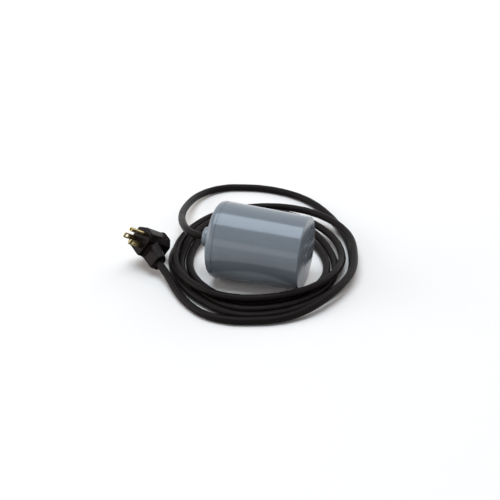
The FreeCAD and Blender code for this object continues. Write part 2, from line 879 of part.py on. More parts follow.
def least_gap(edges, diameter):
    """The least distance between two stretches of a tube that lie apart along it."""
    step = 4.0
    apart = int(12 * diameter / step)
    points = []
    for edge in edges:
        count = max(2, int(edge.Length / step))
        points.extend(edge.discretize(count)[:-1])
    least = math.inf
    for index, point in enumerate(points):
        for other in points[index + apart:]:
            rise = abs(point.z - other.z)
            if rise > 2 * diameter:
                continue
            least = min(least, point.distanceToPoint(other))
    return least - diameter


def make_cord(hood_end, hood_way):
    """The lead from the nub, the coil and the tail to the plug."""
    radius = float(cord_radius)
    layout = layout_place()
    place = float_place()
    nub_end = place.multVec(FreeCAD.Vector(-float(d.nub_length), 0, 0))
    way_out = place.Rotation.multVec(FreeCAD.Vector(-1, 0, 0))
    lead = [nub_end, nub_end + way_out * LEAD_FIRST_RUN]
    lead.extend(layout.multVec(FreeCAD.Vector(*point)) for point in LEAD_POINTS)
    edges, radii = tube_route(lead)
    print("lead radii", [round(amount, 1) for amount in radii])
    tube_node("cord_lead", edges, radius)
    coil = [arc.toShape() for arc in coil_arcs(layout)]
    print("least coil radius", round(min(edge.Curve.Radius for edge in coil), 1))
    print("least gap of the coil to itself", round(least_gap(coil, 2 * radius), 2))
    tube_node("cord_coil", coil, radius)
    tail = [layout.multVec(FreeCAD.Vector(*point)) for point in TAIL_POINTS]
    tail.extend([hood_end + hood_way * TAIL_LAST_RUN, hood_end])
    edges, radii = tube_route(tail)
    print("tail radii", [round(amount, 1) for amount in radii])
    tube_node("cord_tail", edges, radius)


# Plug: its own frame has the prongs along X, the hood along Y and the ground prong above, along Z

PLUG_SPOT = FreeCAD.Vector(-125.7, -39.1, 31.2)
PLUG_HEADING = 221.95
PLUG_PITCH = -34.1
PLUG_ROLL = -18.5


def plug_place():
    """Where the plug's own frame stands."""
    turn = FreeCAD.Rotation(PLUG_HEADING, PLUG_PITCH, PLUG_ROLL)
    return layout_place().multiply(FreeCAD.Placement(PLUG_SPOT, turn))


# The block's upper corners slant, so where its outline draws in they move down by less than its walls
SHOULDER_SHARE = 0.4


def block_outline(inset):
    """The plug block's outline, seen along the prongs, drawn in by an inset."""
    low = inset - d.block_low
    high = d.block_high - inset
    half = d.block_half - inset
    shoulder = d.block_shoulder - inset * SHOULDER_SHARE
    top_half = d.block_top_half - inset * SHOULDER_SHARE
    return [
        (-half, low + d.block_corner),
        (-half + d.block_corner, low),
        (half - d.block_corner, low),
        (half, low + d.block_corner),
        (half, shoulder),
        (top_half, high),
        (-top_half, high),
        (-half, shoulder),
    ]


def hood_outline(half, low, shoulder, high):
    """The hood's outline, seen along the cord: flat walls under a roof with a narrow top."""
    return [
        (hood_x - half, d.hood_corner - low),
        (hood_x - half + d.hood_corner, -low),
        (hood_x + half - d.hood_corner, -low),
        (hood_x + half, d.hood_corner - low),
        (hood_x + half, shoulder),
        (hood_x + d.hood_top_half, high),
        (hood_x - d.hood_top_half, high),
        (hood_x - half, shoulder),
    ]


plate_inset = d.block_wall + d.pin_gap
hood_x = -d.hood_set_in
hood_start = d.block_half - SUNK
sleeve_end = d.hood_length - d.sleeve_recess
sleeve_start = sleeve_end - d.sleeve_length
core_start = d.block_half - d.block_wall
half_pitch = d.prong_pitch / 2
slot_y = d.prong_thickness / 2 + d.fit_gap
slot_z = d.prong_width / 2 + d.fit_gap
contact_y = slot_y + d.contact_wall
contact_half_z = slot_z + d.contact_wall
ground_contact = d.ground_radius + d.fit_gap + d.contact_wall
rear_start = d.rear_plate - d.block_depth
room_start = rear_start - PAST


def make_plug_body():
    """Moulded block with a through pocket, and the faceted hood that the cord enters."""
    block = prism(block_outline(0.0), -d.block_depth, d.block_depth)
    pocket = prism(block_outline(d.block_wall), -d.block_depth - PAST, d.block_depth + 2 * PAST)
    hood = doc.addObject("PartDesign::Body", "Hood")
    root = outline_sketch(hood, "XZ_Plane", hood_outline(
        d.hood_root_half, d.hood_root_low, d.hood_root_shoulder, d.hood_root_high))
    tip = outline_sketch(hood, "XZ_Plane", hood_outline(
        d.hood_end_half, d.hood_end_low, d.hood_end_shoulder, d.hood_end_high))
    bind(root, "AttachmentOffset.Base.z", -hood_start)
    bind(tip, "AttachmentOffset.Base.z", -d.hood_length)
    loft = hood.newObject("PartDesign::AdditiveLoft", "HoodLoft")
    loft.Profile = root
    loft.Sections = [tip]
    loft.Ruled = True
    hood.Tip = loft
    core_bore = cross_rod(0.0, d.hood_length + PAST, cord_radius + d.pin_gap, hood_x)
    sleeve_bore = cross_rod(sleeve_start, d.hood_length + PAST, d.sleeve_radius + d.pin_gap, hood_x)
    body = cut(joined(block, hood), pocket, core_bore, sleeve_bore)
    node("plug_body", body, plug_place())


def pole_cuts(start, end, spare_y, spare_z, ground_radius):
    """Cuts along X for both flat prongs and the ground prong, wider than them by what is spare."""
    cuts = []
    for side in (-1, 1):
        middle = side * half_pitch
        cuts.append(box(start, end, middle - spare_y, middle + spare_y, -spare_z, spare_z))
    cuts.append(rod(start, end, ground_radius, 0.0, d.ground_reach))
    return cuts


def make_plug_plates():
    """Front plate round the prongs, rear plate with the receptacle's slots, carrier between."""
    ground_hole = d.ground_radius + d.fit_gap
    neck_hole = d.ground_neck_radius + d.fit_gap
    front = prism(block_outline(plate_inset), -d.face_plate, d.face_plate)
    slots = pole_cuts(-d.face_plate - PAST, PAST, slot_y, slot_z, neck_hole)
    node("plug_face", cut(front, *slots), plug_place())
    rear = prism(block_outline(plate_inset), -d.block_depth, d.rear_plate)
    slots = pole_cuts(-d.block_depth - PAST, rear_start + PAST, slot_y, slot_z, ground_hole)
    node("receptacle_face", cut(rear, *slots), plug_place())
    carrier = prism(block_outline(plate_inset), rear_start, -d.face_plate - rear_start)
    rooms = pole_cuts(
        room_start, PAST - d.face_plate,
        contact_y + d.pin_gap, contact_half_z + d.pin_gap, ground_contact + d.pin_gap)
    node("contact_carrier", cut(carrier, *rooms), plug_place())


def make_prongs():
    """Two flat prongs with holes, and the round ground prong: a neck, a shank and a hollow slit tip."""
    half = d.prong_width / 2
    tip = d.prong_length
    for label, side in (("prong_line", 1), ("prong_neutral", -1)):
        middle = side * half_pitch
        flat = prism([
            (-d.prong_root, -half),
            (tip - d.prong_tip, -half),
            (tip, d.prong_tip - half),
            (tip, half - d.prong_tip),
            (tip - d.prong_tip, half),
            (-d.prong_root, half),
        ], -middle - d.prong_thickness / 2, d.prong_thickness, "XZ_Plane")
        hole = cross_rod(
            middle - d.prong_thickness, middle + d.prong_thickness,
            d.prong_hole_radius, tip - d.prong_hole_place)
        node(label, cut(flat, hole), plug_place())
    neck = rod(-d.prong_root, d.ground_neck + SUNK, d.ground_neck_radius, 0.0, d.ground_reach)
    shank = rod(d.ground_neck, d.ground_length, d.ground_radius, 0.0, d.ground_reach)
    slit_start = d.ground_length - d.ground_slit_depth
    ground_past = d.ground_length + PAST
    bore = rod(slit_start, ground_past, d.ground_radius - d.ground_wall, 0.0, d.ground_reach)
    slit = box(
        slit_start, ground_past, -(d.ground_slit / 2), d.ground_slit / 2,
        d.ground_reach, d.ground_reach + d.ground_radius + PAST)
    node("prong_ground", cut(joined(neck, shank), bore, slit), plug_place())


def make_contacts():
    """A spring contact behind each prong: the line's stands apart, because the switch joins it."""
    for label, side, gap in (("contact_line", 1, d.contact_break), ("contact_neutral", -1, 0.0)):
        middle = side * half_pitch
        front = -d.prong_root - gap
        spring = box(
            rear_start, front, middle - contact_y, middle + contact_y, -contact_half_z, contact_half_z)
        slot = box(
            room_start, front - d.contact_wall * 2, middle - slot_y, middle + slot_y, -slot_z, slot_z)
        node(label, cut(spring, slot), plug_place())
    barrel = rod(rear_start, -d.prong_root, ground_contact, 0.0, d.ground_reach)
    socket_end = -d.prong_root - d.contact_wall * 2
    socket = rod(room_start, socket_end, d.ground_radius + d.fit_gap, 0.0, d.ground_reach)
    node("contact_ground", cut(barrel, socket), plug_place())


def make_plug_sleeve():
    """Soft sleeve in the hood's end, round the stub of cord that is moulded in."""
    outer = cross_rod(sleeve_start, sleeve_end, d.sleeve_radius, hood_x)
    bore = cross_rod(sleeve_start - PAST, sleeve_end + PAST, cord_radius + d.pin_gap, hood_x)
    node("plug_sleeve", cut(outer, bore), plug_place())
    stub = doc.addObject("Part::Cylinder", "Stub")
    bind(stub, "Radius", cord_radius)
    bind(stub, "Height", sleeve_end - core_start)
    stub.Placement = shift(hood_x, core_start, 0, ALONG_Y)
    node("plug_cord_core", stub, plug_place())


make_float_body()
make_float_cap()
make_cap_seal()
make_gland()
make_carrier()
make_tube()
make_lever()
make_switch()
make_foam()
make_wires()
make_plug_body()
make_plug_plates()
make_prongs()
make_contacts()
make_plug_sleeve()
hood_end_point = plug_place().multVec(FreeCAD.Vector(float(hood_x), float(sleeve_end), 0))
make_cord(hood_end_point, plug_place().Rotation.multVec(Y_AXIS))
doc.recompute()

for thing in doc.Objects:
    if "Invalid" in thing.State or "Error" in thing.State:
        raise RuntimeError(f"{thing.Label} failed: {thing.State}")

os.makedirs("parts", exist_ok=True)
for thing in nodes:
    if thing.Shape.isNull() or not thing.Shape.isValid():
        raise RuntimeError(f"{thing.Label} has no valid shape")
    thing.Shape.exportStep(f"parts/{thing.Label}.step")
print(len(nodes), "pieces written")
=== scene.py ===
"""Looks of the tethered float switch: the float, its cord in loose loops and the piggyback plug.

Metres and +Z up. The float lies on the floor at the origin, its cord end at -X and its flat end at +X.
"""

import json
import math

import bpy
import numpy as np
from mathutils import Euler, Matrix, Vector


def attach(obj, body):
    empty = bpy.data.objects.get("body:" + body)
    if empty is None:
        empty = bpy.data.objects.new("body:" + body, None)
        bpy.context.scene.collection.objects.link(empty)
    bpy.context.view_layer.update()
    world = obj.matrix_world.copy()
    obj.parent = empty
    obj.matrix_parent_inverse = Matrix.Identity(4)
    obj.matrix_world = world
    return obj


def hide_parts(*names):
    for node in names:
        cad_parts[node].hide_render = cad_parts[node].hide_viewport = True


MM = 0.001

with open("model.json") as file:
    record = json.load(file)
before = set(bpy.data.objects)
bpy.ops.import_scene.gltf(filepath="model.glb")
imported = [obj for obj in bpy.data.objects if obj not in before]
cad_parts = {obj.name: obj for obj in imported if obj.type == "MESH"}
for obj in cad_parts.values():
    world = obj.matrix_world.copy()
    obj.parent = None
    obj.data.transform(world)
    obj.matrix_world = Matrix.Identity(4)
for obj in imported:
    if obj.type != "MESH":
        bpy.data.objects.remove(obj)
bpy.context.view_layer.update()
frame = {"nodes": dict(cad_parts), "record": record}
nodes = frame["nodes"]


# Camera at the photograph's angle

CAMERA_PLACE = Vector((0.2979, -0.9926, 0.5868))
CAMERA_AIM = Vector((-0.0253, 0.0627, 0.0))
CAMERA_LENS = 77.18

lens = bpy.data.cameras.new("studio_camera")
lens.lens = CAMERA_LENS
lens.sensor_width = 36.0
lens.clip_start = 0.01
lens.clip_end = 60.0
camera = bpy.data.objects.new("studio_camera", lens)
bpy.context.scene.collection.objects.link(camera)
camera.location = CAMERA_PLACE
camera.rotation_euler = (CAMERA_AIM - CAMERA_PLACE).to_track_quat("-Z", "Y").to_euler()
bpy.context.scene.camera = camera
bpy.context.scene.view_settings.view_transform = "Standard"


# Node trees: short calls that the shared groups and the finishes are wired with

def add(tree, kind, inputs=None, **settings):
    """A new node, its settings and its inputs, each a plain value or another node's socket."""
    made = tree.nodes.new(kind)
    for name, value in settings.items():
        setattr(made, name, value)
    for name, value in (inputs or {}).items():
        if isinstance(value, bpy.types.NodeSocket):
            tree.links.new(value, made.inputs[name])
        else:
            made.inputs[name].default_value = value
    return made


def group(name, takes, gives):
    """A new shader group with named inputs and outputs, and its two end nodes."""
    kinds = {"value": "NodeSocketFloat", "colour": "NodeSocketColor", "vector": "NodeSocketVector"}
    tree = bpy.data.node_groups.new(name, "ShaderNodeTree")
    for label, kind in takes.items():
        tree.interface.new_socket(label, in_out="INPUT", socket_type=kinds[kind])
    for label, kind in gives.items():
        tree.interface.new_socket(label, in_out="OUTPUT", socket_type=kinds[kind])
    start = tree.nodes.new("NodeGroupInput").outputs
    end = tree.nodes.new("NodeGroupOutput").inputs
    return tree, start, end


def math_node(tree, operation, first, second):
    """The sum, difference, product or larger one of two values, as the operation says."""
    made = add(tree, "ShaderNodeMath", operation=operation)
    for index, value in enumerate((first, second)):
        if isinstance(value, bpy.types.NodeSocket):
            tree.links.new(value, made.inputs[index])
        else:
            made.inputs[index].default_value = value
    return made.outputs[0]


def between(tree, factor, low, high):
    """Runs from one colour to another as the factor goes from 0 to 1."""
    made = add(tree, "ShaderNodeMix", data_type="RGBA")
    for name, value in (("Factor_Float", factor), ("A_Color", low), ("B_Color", high)):
        socket = next(s for s in made.inputs if s.identifier == name)
        if isinstance(value, bpy.types.NodeSocket):
            tree.links.new(value, socket)
        else:
            socket.default_value = value
    return next(s for s in made.outputs if s.identifier == "Result_Color")


def ranged(tree, value, low, high, out_low=0.0, out_high=1.0):
    """Takes a value's range to another one, with soft ends."""
    return add(tree, "ShaderNodeMapRange", {
        "Value": value, "From Min": low, "From Max": high, "To Min": out_low, "To Max": out_high,
    }, interpolation_type="SMOOTHSTEP").outputs["Result"]


def noise(tree, where, scale, detail=2.0, roughness=0.5):
    """Cloudy noise from 0 to 1."""
    return add(tree, "ShaderNodeTexNoise", {
        "Vector": where, "Scale": scale, "Detail": detail, "Roughness": roughness,
    }).outputs["Fac"]


def object_place(tree):
    """Where a point lies in the object's own frame, in metres."""
    return tree.nodes.new("ShaderNodeTexCoord").outputs["Object"]


def stretched(tree, where, scale):
    """The same place with each axis scaled, for streaks."""
    return add(tree, "ShaderNodeMapping", {"Vector": where, "Scale": scale}).outputs["Vector"]


RUB_STRETCH = (24.0, 60.0, 60.0)
SKIN_SPREAD = 0.02
SCUFF_WAYS = (((0.5, 0.3, 0.5), (0.06, 1.6, 1.6)), ((-0.9, -0.54, -0.9), (1.4, 0.08, 1.4)))
SCUFF_SIZE = 260.0
SCUFF_FEW = 0.7
SCUFF_ROUGH = 0.3
SCRAPE_GAIN = 1.5
SCRAPE_LIFT = 0.02
STREAK_SHARE = 0.25
DULL_ROUGH = 0.3
LINE_STRETCH = (30.0, 46.0, 1.0)
BLOOM_SIZE = 55.0
BLOOM_SHARE = 0.55
BLOOM_ROUGH = 0.12
DUST_SIZE = 900.0
DUST_SHARE = 0.25
DUST_RELIEF = 0.3
FOAM_CELLS = 700.0


def moulded_group():
    """Moulded plastic: faint cloudy tone, a fine skin and rubbed patches that are duller."""
    tree, takes, gives = group("moulded", {
        "Colour": "colour", "Shade": "colour", "Cloud Size": "value", "Skin Size": "value",
        "Gloss": "value", "Rub": "value",
    }, {"Colour": "colour", "Roughness": "value", "Height": "value"})
    where = object_place(tree)
    cloud = noise(tree, where, takes["Cloud Size"], detail=4.0, roughness=0.6)
    tone = ranged(tree, cloud, low=0.3, high=0.7)
    tree.links.new(between(tree, tone, takes["Colour"], takes["Shade"]), gives["Colour"])
    patches = noise(tree, stretched(tree, where, RUB_STRETCH), 1.0, detail=5.0, roughness=0.65)
    rubbed = ranged(tree, patches, low=0.5, high=0.8)
    fine = noise(tree, where, takes["Skin Size"])
    rough = math_node(tree, "ADD", takes["Gloss"], math_node(tree, "MULTIPLY", rubbed, takes["Rub"]))
    spread = math_node(tree, "MULTIPLY", math_node(tree, "SUBTRACT", fine, 0.5), SKIN_SPREAD)
    tree.links.new(math_node(tree, "ADD", rough, spread), gives["Roughness"])
    tree.links.new(fine, gives["Height"])
    return tree


def scuff_group():
    """Handling scuffs: short thin lines in two slanted directions, few and far apart."""
    tree, takes, gives = group("scuffs", {"Size": "value", "Few": "value"}, {"Mask": "value"})
    where = object_place(tree)
    masks = []
    for turn, stretch in SCUFF_WAYS:
        turned = add(tree, "ShaderNodeMapping", {"Vector": where, "Rotation": turn})
        drawn = stretched(tree, turned.outputs["Vector"], stretch)
        lines = noise(tree, drawn, takes["Size"], detail=3.0, roughness=0.7)
        masks.append(ranged(tree, lines, low=takes["Few"], high=0.86))
    tree.links.new(math_node(tree, "MAXIMUM", masks[0], masks[1]), gives["Mask"])
    return tree


def metal_group():
    """Rolled or plated metal: fine streaks one way, and cloudy tarnish."""
    tree, takes, gives = group("rolled_metal", {
        "Bright": "colour", "Dull": "colour", "Streaks": "vector", "Tarnish Size": "value",
        "Gloss": "value", "Tarnish": "value",
    }, {"Colour": "colour", "Roughness": "value", "Height": "value"})
    where = object_place(tree)
    scaled = add(tree, "ShaderNodeVectorMath", {0: where, 1: takes["Streaks"]}, operation="MULTIPLY")
    streak = noise(tree, scaled.outputs["Vector"], 1.0, detail=4.0, roughness=0.7)
    cloud = noise(tree, where, takes["Tarnish Size"], detail=4.0, roughness=0.6)
    tarnish = ranged(tree, cloud, low=0.4, high=0.75)
    dull = math_node(tree, "MULTIPLY", tarnish, takes["Tarnish"])
    mixed = math_node(tree, "ADD", dull, math_node(tree, "MULTIPLY", streak, STREAK_SHARE))
    tree.links.new(between(tree, mixed, takes["Bright"], takes["Dull"]), gives["Colour"])
    rough = math_node(tree, "ADD", takes["Gloss"], math_node(tree, "MULTIPLY", mixed, DULL_ROUGH))
    tree.links.new(rough, gives["Roughness"])
    tree.links.new(streak, gives["Height"])
    return tree


def jacket_group():
    """Cord jacket: fine lines along it on its own UV map, from the extrusion, faint cloudy bloom and dust."""
    tree, takes, gives = group("jacket", {
        "Colour": "colour", "Bloom": "colour", "Gloss": "value",
    }, {"Colour": "colour", "Roughness": "value", "Height": "value"})
    along = tree.nodes.new("ShaderNodeTexCoord").outputs["UV"]
    lines = noise(tree, stretched(tree, along, LINE_STRETCH), 1.0)
    where = object_place(tree)
    cloud = ranged(tree, noise(tree, where, BLOOM_SIZE, detail=5.0, roughness=0.62), low=0.42, high=0.78)
    dust = ranged(tree, noise(tree, where, DUST_SIZE, roughness=0.6), low=0.62, high=0.78)
    clouded = math_node(tree, "MULTIPLY", cloud, BLOOM_SHARE)
    bloom = math_node(tree, "ADD", clouded, math_node(tree, "MULTIPLY", dust, DUST_SHARE))
    tree.links.new(between(tree, bloom, takes["Colour"], takes["Bloom"]), gives["Colour"])
    rough = math_node(tree, "ADD", takes["Gloss"], math_node(tree, "MULTIPLY", cloud, BLOOM_ROUGH))
    tree.links.new(rough, gives["Roughness"])
    grains = math_node(tree, "MULTIPLY", dust, DUST_RELIEF)
    tree.links.new(math_node(tree, "ADD", lines, grains), gives["Height"])
    return tree


def foam_group():
    """Closed-cell foam: rounded cells with darker walls."""
    tree, takes, gives = group("cells", {
        "Colour": "colour", "Wall": "colour", "Cells": "value",
    }, {"Colour": "colour", "Height": "value"})
    cells = add(tree, "ShaderNodeTexVoronoi", {"Vector": object_place(tree), "Scale": takes["Cells"]})
    edge = ranged(tree, cells.outputs["Distance"], low=0.2, high=0.75)
    tree.links.new(between(tree, edge, takes["Colour"], takes["Wall"]), gives["Colour"])
    tree.links.new(math_node(tree, "SUBTRACT", 1.0, edge), gives["Height"])
    return tree


MOULDED = moulded_group()
SCUFFS = scuff_group()
METAL = metal_group()
JACKET = jacket_group()
FOAM = foam_group()


def rgba(colour):
    """A colour that hides what is behind it."""
    return (*colour, 1.0)


def started(name):
    """A new material with a Principled shader and its output."""
    made = bpy.data.materials.new(name)
    made.use_nodes = True
    tree = made.node_tree
    tree.nodes.clear()
    shader = tree.nodes.new("ShaderNodeBsdfPrincipled")
    tree.links.new(shader.outputs[0], tree.nodes.new("ShaderNodeOutputMaterial").inputs[0])
    return made, tree, shader


def placed(tree, shared, values):
    """A shared group in a material, with this material's values."""
    made = tree.nodes.new("ShaderNodeGroup")
    made.node_tree = shared
    for name, value in values.items():
        made.inputs[name].default_value = value
    return made.outputs


def raised(tree, shader, height, depth):
    """The height in metres of a fine relief, on the shader's normal."""
    bump = add(tree, "ShaderNodeBump", {"Height": height, "Distance": depth, "Strength": 1.0})
    tree.links.new(bump.outputs["Normal"], shader.inputs["Normal"])


def plastic(name, colour, shade, gloss, rub=0.12, cloud=30.0, skin=1200.0, depth=0.00001, ior=1.5,
            tint=(1.0, 1.0, 1.0), scuffs=0.0):
    """Moulded plastic or rubber, with scuffs where it is handled."""
    made, tree, shader = started(name)
    out = placed(tree, MOULDED, {
        "Colour": rgba(colour), "Shade": rgba(shade), "Cloud Size": cloud, "Skin Size": skin,
        "Gloss": gloss, "Rub": rub,
    })
    tone, rough = out["Colour"], out["Roughness"]
    if scuffs:
        mask = placed(tree, SCUFFS, {"Size": SCUFF_SIZE, "Few": SCUFF_FEW})["Mask"]
        scraped = [min(1.0, part * SCRAPE_GAIN + SCRAPE_LIFT) for part in colour]
        tone = between(tree, math_node(tree, "MULTIPLY", mask, scuffs), tone, rgba(scraped))
        rough = math_node(tree, "ADD", rough, math_node(tree, "MULTIPLY", mask, scuffs * SCUFF_ROUGH))
    tree.links.new(tone, shader.inputs["Base Color"])
    tree.links.new(rough, shader.inputs["Roughness"])
    raised(tree, shader, out["Height"], depth)
    shader.inputs["IOR"].default_value = ior
    shader.inputs["Specular Tint"].default_value = rgba(tint)
    return made


def metal(name, bright, dull, gloss, tarnish, streaks=(200.0, 4000.0, 4000.0), cloud=220.0, depth=0.000003):
    """Rolled, plated or polished metal."""
    made, tree, shader = started(name)
    out = placed(tree, METAL, {
        "Bright": rgba(bright), "Dull": rgba(dull), "Streaks": streaks, "Tarnish Size": cloud,
        "Gloss": gloss, "Tarnish": tarnish,
    })
    tree.links.new(out["Colour"], shader.inputs["Base Color"])
    tree.links.new(out["Roughness"], shader.inputs["Roughness"])
    raised(tree, shader, out["Height"], depth)
    shader.inputs["Metallic"].default_value = 1.0
    return made


def cord_finish(name, colour, bloom, gloss, ior):
    """Black cord jacket."""
    made, tree, shader = started(name)
    out = placed(tree, JACKET, {"Colour": rgba(colour), "Bloom": rgba(bloom), "Gloss": gloss})
    tree.links.new(out["Colour"], shader.inputs["Base Color"])
    tree.links.new(out["Roughness"], shader.inputs["Roughness"])
    raised(tree, shader, out["Height"], depth=0.00003)
    shader.inputs["IOR"].default_value = ior
    return made


def foam_finish(name, colour, wall):
    """Foam block."""
    made, tree, shader = started(name)
    out = placed(tree, FOAM, {"Colour": rgba(colour), "Wall": rgba(wall), "Cells": FOAM_CELLS})
    tree.links.new(out["Colour"], shader.inputs["Base Color"])
    raised(tree, shader, out["Height"], depth=0.0003)
    shader.inputs["Roughness"].default_value = 0.85
    return made


GREY = (0.147, 0.173, 0.202)
GREY_SHADE = (0.136, 0.161, 0.189)
GLOSS_TINT = (0.88, 0.94, 1.0)

FINISHES = {
    "shell_plastic": plastic("float_grey", GREY, GREY_SHADE, gloss=0.15, rub=0.05, cloud=26.0, skin=900.0,
                             depth=0.000001, ior=1.55, tint=GLOSS_TINT, scuffs=0.05),
    "cap_plastic": plastic("cap_grey", GREY, GREY_SHADE, gloss=0.16, rub=0.06, cloud=34.0, skin=900.0,
                           depth=0.000001, ior=1.55, tint=GLOSS_TINT, scuffs=0.05),
    "seal_rubber": plastic("seal_black", (0.02, 0.02, 0.02), (0.03, 0.03, 0.03), gloss=0.42),
    "gland_rubber": plastic("gland_black", (0.022, 0.021, 0.02), (0.03, 0.029, 0.027), gloss=0.5),
    "potting": plastic("potting_resin", (0.05, 0.042, 0.03), (0.065, 0.055, 0.04), gloss=0.12,
                       rub=0.1, cloud=60.0),
    "cord_jacket": plastic("cord_core_black", (0.011, 0.0095, 0.009), (0.016, 0.014, 0.013), gloss=0.5,
                           ior=1.4),
    "wire_jacket": plastic("wire_ivory", (0.55, 0.52, 0.44), (0.48, 0.45, 0.37), gloss=0.35,
                           rub=0.1, cloud=90.0),
    "carrier_plastic": plastic("carrier_ivory", (0.58, 0.57, 0.53), (0.5, 0.49, 0.45), gloss=0.38,
                               rub=0.15, cloud=50.0),
    "screw_steel": metal("screw_plated", (0.66, 0.65, 0.63), (0.42, 0.41, 0.4), gloss=0.22, tarnish=0.4),
    "tube_plastic": plastic("tube_white", (0.64, 0.64, 0.61), (0.58, 0.58, 0.55), gloss=0.2,
                            rub=0.1, cloud=40.0),
    "ball_steel": metal("ball_polished", (0.68, 0.68, 0.7), (0.5, 0.5, 0.52), gloss=0.05, tarnish=0.15,
                        streaks=(900.0, 900.0, 900.0)),
    "lever_steel": metal("lever_plated", (0.6, 0.6, 0.6), (0.4, 0.4, 0.41), gloss=0.25, tarnish=0.35),
    "switch_plastic": plastic("switch_black", (0.025, 0.025, 0.028), (0.034, 0.034, 0.037), gloss=0.4,
                              cloud=80.0),
    "spring_brass": metal("spring_rolled", (0.78, 0.57, 0.26), (0.5, 0.34, 0.15), gloss=0.22, tarnish=0.5),
    "plunger_plastic": plastic("plunger_red", (0.55, 0.06, 0.045), (0.45, 0.05, 0.04), gloss=0.3,
                               rub=0.1, cloud=200.0),
    "foam": foam_finish("foam_white", (0.78, 0.78, 0.75), (0.55, 0.55, 0.52)),
    "plug_plastic": plastic("plug_black", (0.0070, 0.0047, 0.0047), (0.0094, 0.0066, 0.0064), gloss=0.21,
                            cloud=70.0, skin=1500.0, ior=1.13, scuffs=0.06),
    "prong_brass": metal("prong_stamped", (0.42, 0.355, 0.175), (0.17, 0.13, 0.06), gloss=0.2, tarnish=0.6),
}
JACKET_FINISH = cord_finish("cord_black", (0.0050, 0.0034, 0.0034), (0.0095, 0.0072, 0.0068),
                            gloss=0.42, ior=1.165)


# Surfaces

TINY = 1e-9
SAME_PLACE = 1e-6


def rounded(corners, radii, steps):
    """A closed outline with rounded corners.

    A round starts its radius times the tangent of half the turn away from its corner. From there it is an
    arc, blended as a circle between the two sides' directions.
    """
    points = np.asarray(corners, float)
    before = np.roll(points, 1, 0) - points
    after = np.roll(points, -1, 0) - points
    before /= np.linalg.norm(before, axis=1)[:, None]
    after /= np.linalg.norm(after, axis=1)[:, None]
    radius = np.broadcast_to(np.asarray(radii, float), (len(points),))[:, None]
    half = np.arccos(np.clip((before * after).sum(1), -1.0, 1.0))[:, None] / 2
    middle = before + after
    middle /= np.maximum(np.linalg.norm(middle, axis=1)[:, None], TINY)
    centre = points + middle * radius / np.sin(half)
    first = before * (radius / np.tan(half)) + points - centre
    last = after * (radius / np.tan(half)) + points - centre
    share = np.linspace(0.0, 1.0, steps)[None, :, None]
    sweep = (math.pi - 2 * half)[:, None]
    safe = np.maximum(np.sin(sweep), TINY)
    arc = (np.sin((1 - share) * sweep) * first[:, None] + np.sin(share * sweep) * last[:, None]) / safe
    return (centre[:, None] + arc).reshape(-1, 2)


def seen_from(outline, centre, count):
    """Points of a convex outline in evenly spaced directions from a centre inside it.

    With n the outward normal of a side through p, a ray from c along d meets the side at n.(p - c) / n.d,
    and the outline where that is least.
    """
    turn = np.linspace(0.0, 2 * math.pi, count, endpoint=False)
    ways = np.stack([np.cos(turn), np.sin(turn)], 1)
    side = np.roll(outline, -1, 0) - outline
    outward = np.stack([side[:, 1], -side[:, 0]], 1)
    far = (outward * (outline - centre)).sum(1)
    clear = np.abs(far) > TINY
    outward, far = outward[clear], far[clear]
    share = ways @ (outward * np.sign(far)[:, None]).T
    reach = np.where(share > TINY, np.abs(far) / np.maximum(share, TINY), np.inf).min(1)
    return centre + ways * reach[:, None]


def circle(centre, radius, count):
    """Points of a circle in evenly spaced directions from its centre."""
    turn = np.linspace(0.0, 2 * math.pi, count, endpoint=False)
    return centre + radius * np.stack([np.cos(turn), np.sin(turn)], 1)


def sheet_faces(rows, columns, round_rows):
    """Four-cornered faces of a grid whose rows each close on themselves, and its columns where asked."""
    down = np.arange(rows if round_rows else rows - 1)
    across = np.arange(columns)
    row, column = (grid.ravel() for grid in np.meshgrid(down, across, indexing="ij"))
    below, beside = (row + 1) % rows, (column + 1) % columns
    corner = row * columns
    under = below * columns
    return np.stack([corner + column, corner + beside, under + beside, under + column], 1)


def volume_sign(points, faces):
    """1 where a closed surface's faces point outwards and -1 where they point inwards.

    The volume is a sixth of the sum of the triple products of each triangle's corners, with every face
    fanned into triangles from its first corner.
    """
    total = 0.0
    for block in faces:
        corners = points[block] - points.mean(0)
        for second in range(1, block.shape[1] - 1):
            normal = np.cross(corners[:, second], corners[:, second + 1])
            total += (corners[:, 0] * normal).sum()
    return 1 if total > 0 else -1


def mesh_piece(name, parts, finish, crease):
    """One piece from lists of points and faces in metres, smooth but for edges sharper than the crease."""
    points, faces, start = [], [], 0
    for part_points, part_faces in parts:
        turned_out = volume_sign(part_points, part_faces)
        points.append(part_points)
        faces.extend((face[:, ::turned_out] + start).tolist() for face in part_faces)
        start += len(part_points)
    mesh = bpy.data.meshes.new(name)
    mesh.from_pydata(np.concatenate(points).tolist(), [], [face for block in faces for face in block])
    mesh.update()
    mesh.shade_smooth()
    mesh.set_sharp_from_angle(angle=math.radians(crease))
    mesh.materials.append(finish)
    piece = bpy.data.objects.new(name, mesh)
    bpy.context.scene.collection.objects.link(piece)
    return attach(piece, "float")


